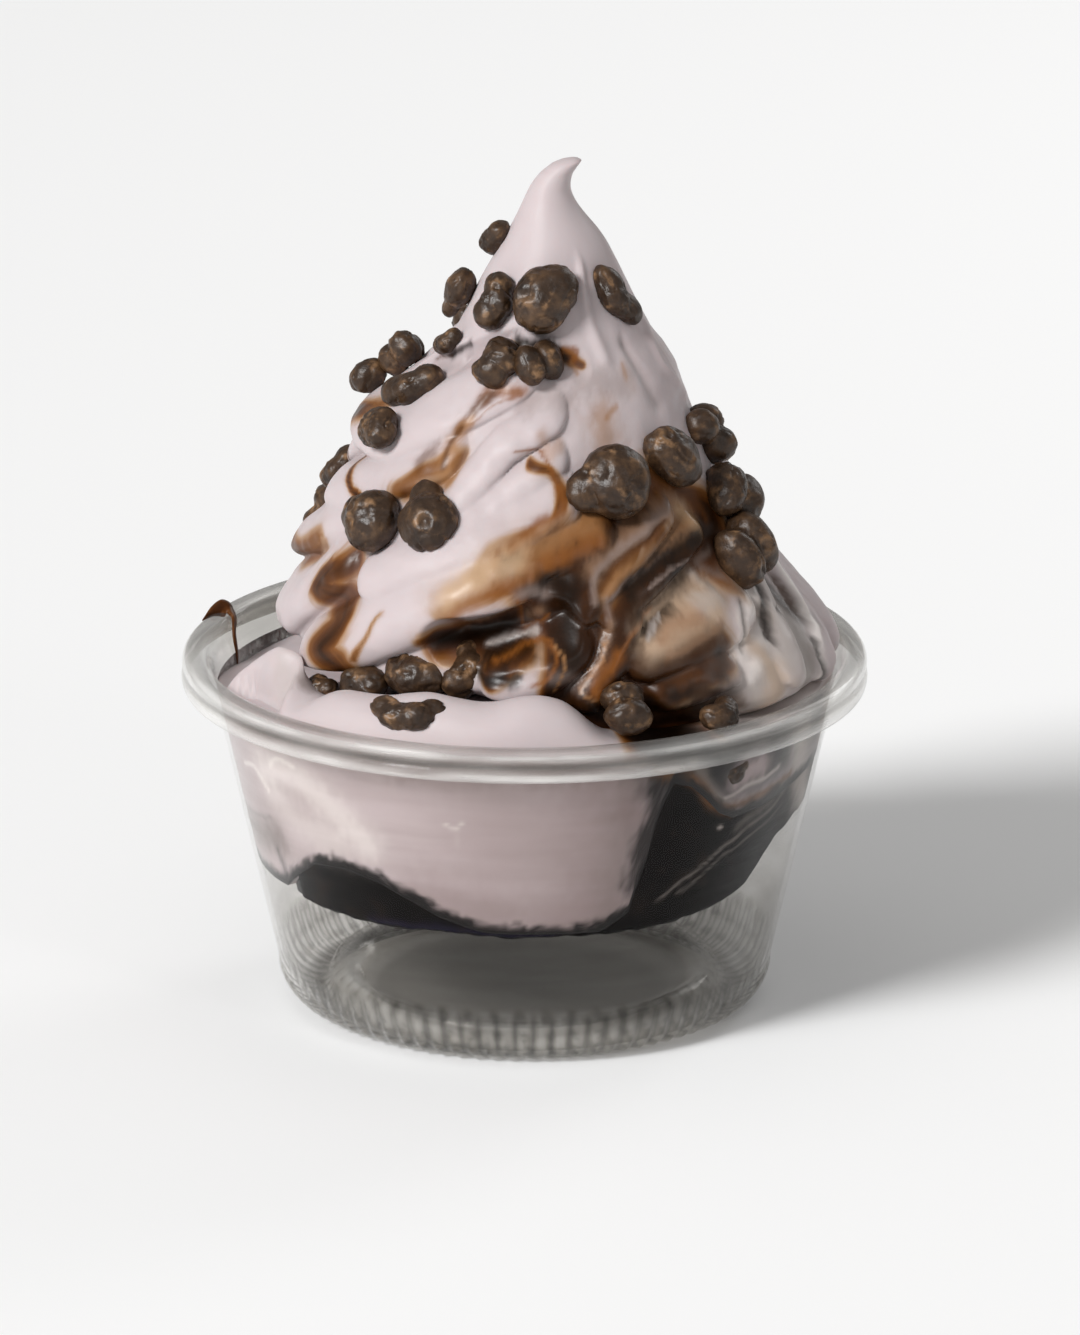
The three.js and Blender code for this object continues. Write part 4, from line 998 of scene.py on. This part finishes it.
# How much light one skin of the plastic lets through, by where it is in the cup: the plastic's own grey, with
# painted shade that lets less through in the lower wall, the floor disc, the back near the rim and the gaps
# between the ribs.
TONE_WALL_LOW_SHADED = 0.895
TONE_WALL_HIGH = 0.94
TONE_FLOOR_SHADED = 0.70
TONE_FLOOR_RING = 0.97
TONE_FOOT_RING = 0.74
TONE_RIM_BACK_SHADED = 0.74
TONE_SLIT_SHADED = 0.55
DASH_COUNT = 60
# How milky the plastic is: most in the thick rim.
HAZE_RIM = 0.27
HAZE_FOOT = 0.05


def rounded_section(section, times=2):
    """The section with its corners cut twice, so that they turn smoothly."""
    points = [np.array(p, float) for p in section]
    for _ in range(times):
        cut = [points[0]]
        for a, b in zip(points, points[1:]):
            reach = min(0.25, 0.9 / max(np.linalg.norm(b - a), 1e-6))
            cut += [a + (b - a) * reach, b - (b - a) * reach]
        cut.append(points[-1])
        points = cut
    return np.array(points)


def bell(value, middle, width):
    return np.exp(-((value - middle) / width) ** 2)


def cup_tone_and_shade(radius, height, angle):
    """How much light one skin of the plastic lets through, round the ring at a place of the section. Less
    gets through as painted shade in the lower wall, the floor disc and the back near the rim, and in dark
    lines at the rib gaps, the heel's dashes and the rim's grooves.
    """
    turn = np.radians(angle * RIB_COUNT)
    wall = TONE_WALL_LOW_SHADED + (TONE_WALL_HIGH - TONE_WALL_LOW_SHADED) * smooth((height - 18) / 8)
    ring = smooth((radius - 22.6) / 1.6) * smooth((29.5 - radius) / 1.5)
    disc = max(TONE_FLOOR_SHADED + (TONE_FLOOR_RING - TONE_FLOOR_SHADED) * ring, TONE_FOOT_RING * smooth((radius - 26) / 3))
    tone_and_shade = wall + (disc - wall) * smooth((31.5 - radius) / 3)
    behind = smooth((np.abs(wrap(angle)) - 80) / 40)
    tone_and_shade = tone_and_shade - behind * (TONE_WALL_HIGH - TONE_RIM_BACK_SHADED) * smooth((height - 43) / 3)
    # painted shade: darker gaps between the ribs, and rows of short dark dashes inside the heel
    heel = smooth((radius - 29.6) / 1.2) * smooth((8.5 - height) / 2.5)
    tone_and_shade = tone_and_shade * (1 - (1 - TONE_SLIT_SHADED) * np.maximum(0, -np.cos(turn)) ** 1.5 * heel)
    row = max(0.0, math.sin(1.9 * height + 0.9 * radius))
    dashes = np.maximum(0, np.sin(np.radians(angle * DASH_COUNT) + 0.35 * height)) * row
    tone_and_shade = tone_and_shade * (1 - 0.40 * dashes * smooth((radius - 26) / 2) * smooth((13 - height) / 5))
    # painted shade: dark lines along the grooves in the rim
    grooves = bell(height, 48.7, 0.45) + 0.7 * bell(height, 51.1, 0.25)
    return tone_and_shade * (1 - 0.44 * grooves * smooth((radius - 45.5) / 1.2))


def cup_haze(radius, height):
    beads = 0.25 + 0.9 * bell(height, 50.2, 0.55) + 0.8 * bell(height, 47.0, 0.6)
    return HAZE_RIM * beads * smooth((radius - 44.6) / 1.6) + HAZE_FOOT * smooth((9 - height) / 4)


def make_cup():
    columns = RIB_COUNT * 6
    angle = np.arange(columns) * 360.0 / columns
    ribs = RIB_HEIGHT * np.maximum(0, np.cos(np.radians(angle * RIB_COUNT))) ** 1.5
    rings, tones_and_shade, hazes = [], [], []
    outside = True
    for radius, height in rounded_section(CUP_SECTION):
        outside = outside and height <= 50
        rib = ribs * outside * smooth((radius - 30.2) / 1.5) * smooth((6.4 - height) / 2.0)
        rings.append(polar(angle, radius + 0.8 * rib, height - 0.5 * rib * smooth(height / 0.8)))
        tones_and_shade.append(cup_tone_and_shade(radius, height, angle))
        hazes.append(np.full(columns, cup_haze(radius, height)))
    looks = {"tone_and_shade": np.array(tones_and_shade).ravel(), "haze": np.array(hazes).ravel()}
    piece = closed_mesh("cup_clear", np.array(rings), [0, 0, 1.3], [0, 0, 2.0], looks)
    finish_piece(piece, CLEAR, "clear_plastic", "cup")


DRIP_STEPS = 60
DRIP_SIDES = 24
DRIP_SAUCE = 0.60
# Sauce that ran over the rim at the left and down inside the wall: (angle, radius, height), half width.
RIM_DRIP = [
    ((-107.5, 48.6, 50.6), 0.5), ((-110.0, 47.9, 51.4), 1.3), ((-111.4, 47.0, 51.7), 1.5),
    ((-112.2, 46.0, 51.4), 1.2), ((-111.8, 45.0, 50.4), 0.8), ((-108.5, 44.1, 48.8), 0.62),
    ((-108.5, 43.6, 45.8), 0.58), ((-106.3, 43.0, 43.2), 0.5),
]


def make_drip():
    """A run of sauce: oval sections swept along the path, pressed flat against the rim and the wall."""
    path = np.array([polar(*place) for place, _ in RIM_DRIP])
    half = np.array([h for _, h in RIM_DRIP])
    corners = np.arange(len(path))
    steps = np.linspace(0, len(path) - 1, DRIP_STEPS)
    line = np.stack([np.interp(steps, corners, path[:, k]) for k in range(3)], -1)
    for _ in range(6):
        line[1:-1] = (line[:-2] + 2 * line[1:-1] + line[2:]) / 4
    rounded_ends = np.sqrt(np.sin(np.linspace(0.05, math.pi - 0.05, DRIP_STEPS)))
    wide = np.interp(steps, corners, half) * rounded_ends * (1 + 0.12 * noise(line, 0.8, 61))
    turn = np.linspace(0, 2 * math.pi, DRIP_SIDES + 1)[:-1, None]
    rings = []
    for k in range(DRIP_STEPS):
        forward = line[min(k + 1, DRIP_STEPS - 1)] - line[max(k - 1, 0)]
        forward /= np.linalg.norm(forward)
        inward = -np.array([line[k, 0], line[k, 1], 0.0])
        inward = inward - forward * (inward @ forward)
        inward /= np.linalg.norm(inward)
        side = np.cross(forward, inward)
        rings.append(line[k] + wide[k] * (np.cos(turn) * side + 0.45 * np.sin(turn) * inward))
    flow = np.array(rings).reshape(-1, 3) * 0.3
    sauce = np.full(len(flow), DRIP_SAUCE)
    looks = {"sauce": sauce, "flow": flow, "paint": flow * 0, "cover": sauce * 0}
    piece = closed_mesh("sauce_drip", np.array(rings), line[0], line[-1], looks)
    finish_piece(piece, ICE_CREAM, "ice_cream")


# ---------- nuggets ----------
# On the swirl: angle, height, length, width, tilt of the long way from level (degrees), kind.
SWIRL_NUGGETS = word_rows("""
-98.5 110.7 6.6 4.6 50 bean
-96 102.3 8.4 5 60 big_small
-43 104.3 7.9 5.4 88 bean
-6 105.4 9.8 8.2 70 round
49.5 104.7 9.6 4.8 -68 bean
-27 97 7.3 6.2 90 bean
-9.5 97 6.9 5.8 10 peanut
-72.5 97.6 5.5 3.4 45 bean
-104 92 7.2 6.4 60 clover
-106 88.7 6.6 5.4 30 peanut
-68.5 91.3 9.3 5.2 52 bean
-62.5 87 6.6 6 20 round
-106 75.2 7 4.6 80 bean
-52.5 75.1 9.9 8.6 -10 big_small
-32 76.9 10.5 8.2 -62 big_small
24 81.6 11.6 10 10 big_small
51 83.8 9.5 7.2 -50 round
82.5 84 9.6 7.2 -60 clover
73 76 9 8 -45 peanut
66 69.1 9.5 9 20 peanut
128 72 9.2 7.6 25 peanut
150 79.5 8.4 7 -40 round
172 70.5 10.2 8 15 big_small
138 88.5 7.4 6.2 70 bean
196 86 9 6 -55 peanut
214 74 8.6 7.4 35 clover
160 97.5 7 5.4 80 peanut
228 96 7.6 5 20 bean
236 66 9.4 7.8 -20 clover
""")
# On the fill: centre, length, width, tilt, kind.
FILL_NUGGETS = word_rows("""
-22.4 -24.9 53.7 7.2 5.8 20 round
-15.2 -28.6 56 9.2 6.4 0 bean
-7.8 -29.4 57.2 8.9 6 80 bean
-16.4 -38.7 53.6 10.6 5 4 crescent
14.3 -37.3 54 7.6 6.7 80 peanut
27.6 -33.2 51.6 6 4.6 10 bean
-28.6 -21 51.6 5.5 4 0 bean
""")
# Against the wall under the rim: angle, height, length, width, tilt, kind.
SUNK_NUGGET = (44, 42.6, 5.4, 3.8, 6, "bean")
SUNK_DEPTH = 0.9
NUGGET_FLATNESS = 0.82
NUGGET_STAND_OFF = 0.2
PROUD_NUGGETS = (2, 9, 10)  # those that the photograph shows outside the swirl's outline
PROUD_STAND_OFF = 0.4
NUGGET_SWELL = 1.07  # the coating's lumps stand out a little past the plain nuggets of the frame


def ball_mesh(subdivisions):
    made = bmesh.new()
    bmesh.ops.create_icosphere(made, subdivisions=subdivisions, radius=1.0)
    vertices = np.array([v.co[:] for v in made.verts])
    faces = [[v.index for v in f.verts] for f in made.faces]
    made.free()
    return vertices, faces


BALL, BALL_FACES = ball_mesh(5)

# Lobes of each kind of nugget, in half lengths and half widths: along, across, out, size.
LOBE_SETS = {
    "bean": [(-0.48, 0.05, 0.0, 0.58), (0.0, -0.16, 0.05, 0.62), (0.50, 0.06, 0.0, 0.54)],
    "peanut": [(-0.44, 0.0, 0.02, 0.62), (0.46, 0.05, 0.0, 0.58)],
    "big_small": [(-0.52, -0.05, 0.0, 0.46), (0.22, 0.02, 0.06, 0.78)],
    "clover": [(-0.40, -0.30, 0.0, 0.54), (0.42, -0.20, 0.05, 0.56), (0.0, 0.46, 0.0, 0.52)],
    "crescent": [
        (-0.62, 0.34, 0.0, 0.42), (-0.22, -0.10, 0.05, 0.54), (0.28, -0.08, 0.05, 0.56),
        (0.64, 0.36, 0.0, 0.40),
    ],
    "round": [(-0.14, 0.06, 0.0, 0.82), (0.26, -0.12, 0.08, 0.72), (0.05, 0.30, 0.1, 0.60)],
}


def nugget_shape(length, width, kind, seed):
    """A lump in its own frame (X long, Y wide, Z off the surface) in mm, and how scuffed each point is."""
    rng = np.random.default_rng(seed)
    half = np.array([length, width, width * NUGGET_FLATNESS]) / 2
    lobes = [(np.array(lobe[:3]) + rng.uniform(-0.06, 0.06, 3), lobe[3] * rng.uniform(0.94, 1.06))
             for lobe in LOBE_SETS[kind]]
    low = np.full(len(BALL), 0.05)
    high = np.full(len(BALL), 2.0)
    for _ in range(22):
        reach = (low + high) / 2
        field = sum(np.exp(5.5 * (1 - (((BALL * reach[:, None] - centre) / size) ** 2).sum(1)))
                    for centre, size in lobes)
        low = np.where(field > 1, reach, low)
        high = np.where(field > 1, high, reach)
    here = BALL + seed * 7.3
    dents = 0.07 * layered_noise(here, 2.0, seed, 2) + 0.03 * layered_noise(here, 5.0, seed + 1, 2)
    wrinkle = smooth((0.08 - np.abs(noise(here, 1.7, seed + 3))) / 0.08)
    pit_depth, pit_edge = np.zeros(len(BALL)), np.zeros(len(BALL))
    for _ in range(2):
        toward_pit = np.array([rng.uniform(-0.8, 0.8), rng.uniform(-0.8, 0.8), rng.uniform(0.4, 0.9)])
        spread = np.arccos(np.clip(BALL @ (toward_pit / np.linalg.norm(toward_pit)), -1, 1))
        pit_depth += np.exp(-(spread / 0.13) ** 2)
        pit_edge += np.exp(-((spread - 0.26) / 0.10) ** 2)
    grown = reach * (1 + dents - 0.065 * wrinkle - 0.11 * pit_depth + 0.035 * pit_edge)
    shape = BALL * grown[:, None]
    span = (shape.max(0) - shape.min(0)) / 2
    middle = (shape.max(0) + shape.min(0)) / 2
    scuff = smooth((noise(here, 3.1, seed + 9) - 0.42) / 0.25) * 0.8 + 0.5 * wrinkle + 0.6 * pit_edge
    return (shape - middle) / span * half, np.clip(scuff, 0, 1)


def add_nugget(number, centre, normal, length, width, tilt, kind, seed):
    points, scuff = nugget_shape(length * NUGGET_SWELL, width * NUGGET_SWELL, kind, seed)
    level = np.cross([0, 0, 1.0], normal)
    level /= np.linalg.norm(level)
    up = np.cross(normal, level)
    long_way = level * math.cos(math.radians(tilt)) + up * math.sin(math.radians(tilt))
    basis = np.stack([long_way, np.cross(normal, long_way), normal])
    name = "nugget_%02d" % number
    piece = new_mesh(name + "_coated", (points @ basis + centre) * MM, BALL_FACES, {"scuff": scuff})
    finish_piece(piece, NUGGET, "nugget", name)


def make_nuggets():
    number = 0
    for angle, height, length, width, tilt, kind in SWIRL_NUGGETS:
        number += 1
        normal = swirl_normal(angle, height)
        stand_off = PROUD_STAND_OFF if number in PROUD_NUGGETS else NUGGET_STAND_OFF
        centre = swirl_point(angle, height) + stand_off * width * normal
        add_nugget(number, centre, normal, length, width, tilt, kind, number)
    for x, y, z, length, width, tilt, kind in FILL_NUGGETS:
        number += 1
        normal = np.array([x, y, 55.0])
        normal /= np.linalg.norm(normal)
        add_nugget(number, np.array([x, y, z]), normal, length, width, tilt, kind, number + 11)
    angle, height, *size_and_kind = SUNK_NUGGET
    centre = polar(angle, inner_radius(height) - SUNK_DEPTH, height)
    add_nugget(number + 1, centre, polar(angle, 1.0, 0.0), *size_and_kind, 51)


make_swirl()
make_fill()
make_brownie()
make_cup()
make_drip()
make_nuggets()

# ---------- floor and light ----------
FLOOR_HALF = 3.0
FLOOR_DROP = 0.0002
signs = [(-1, -1), (1, -1), (1, 1), (-1, 1)]
floor = new_mesh("floor", [(x * FLOOR_HALF, y * FLOOR_HALF, -FLOOR_DROP) for x, y in signs], [(0, 1, 2, 3)])
floor_material, _, floor_shader = new_material("floor_white")
floor_shader.inputs["Base Color"].default_value = (0.9, 0.9, 0.9, 1)
floor_shader.inputs["Roughness"].default_value = 0.7
floor.data.materials.append(floor_material)

world = bpy.data.worlds.new("world")
scene.world = world
world.use_nodes = True
sky = world.node_tree.nodes["Background"]
sky.inputs["Color"].default_value = (1.0, 0.995, 0.985, 1)
sky.inputs["Strength"].default_value = 0.34


def add_light(name, kind, power, direction, location=(0, 0, 0), **settings):
    data = bpy.data.lights.new(name, kind)
    data.energy = power
    for key, value in settings.items():
        setattr(data, key, value)
    light = bpy.data.objects.new(name, data)
    light.location = location
    light.rotation_euler = Vector(direction).to_track_quat("-Z", "Y").to_euler()
    scene.collection.objects.link(light)


LIGHTS_AIM = Vector((0, 0, 0.07))
add_light("key", "SUN", 3.0, (0.60, 0.62, -0.62), angle=math.radians(16))
for name, location, power, width, height in (
    ("window_left", (-0.62, -0.42, 0.46), 1.1, 0.10, 0.34),
    ("strip_right", (0.46, -0.60, 0.42), 0.45, 0.05, 0.40),
    ("back", (0.55, 0.60, 0.50), 1.2, 0.30, 0.40),
):
    direction = LIGHTS_AIM - Vector(location)
    add_light(name, "AREA", power, direction, location, shape="RECTANGLE", size=width, size_y=height)

scene.view_settings.view_transform = "Standard"
scene.view_settings.look = "None"
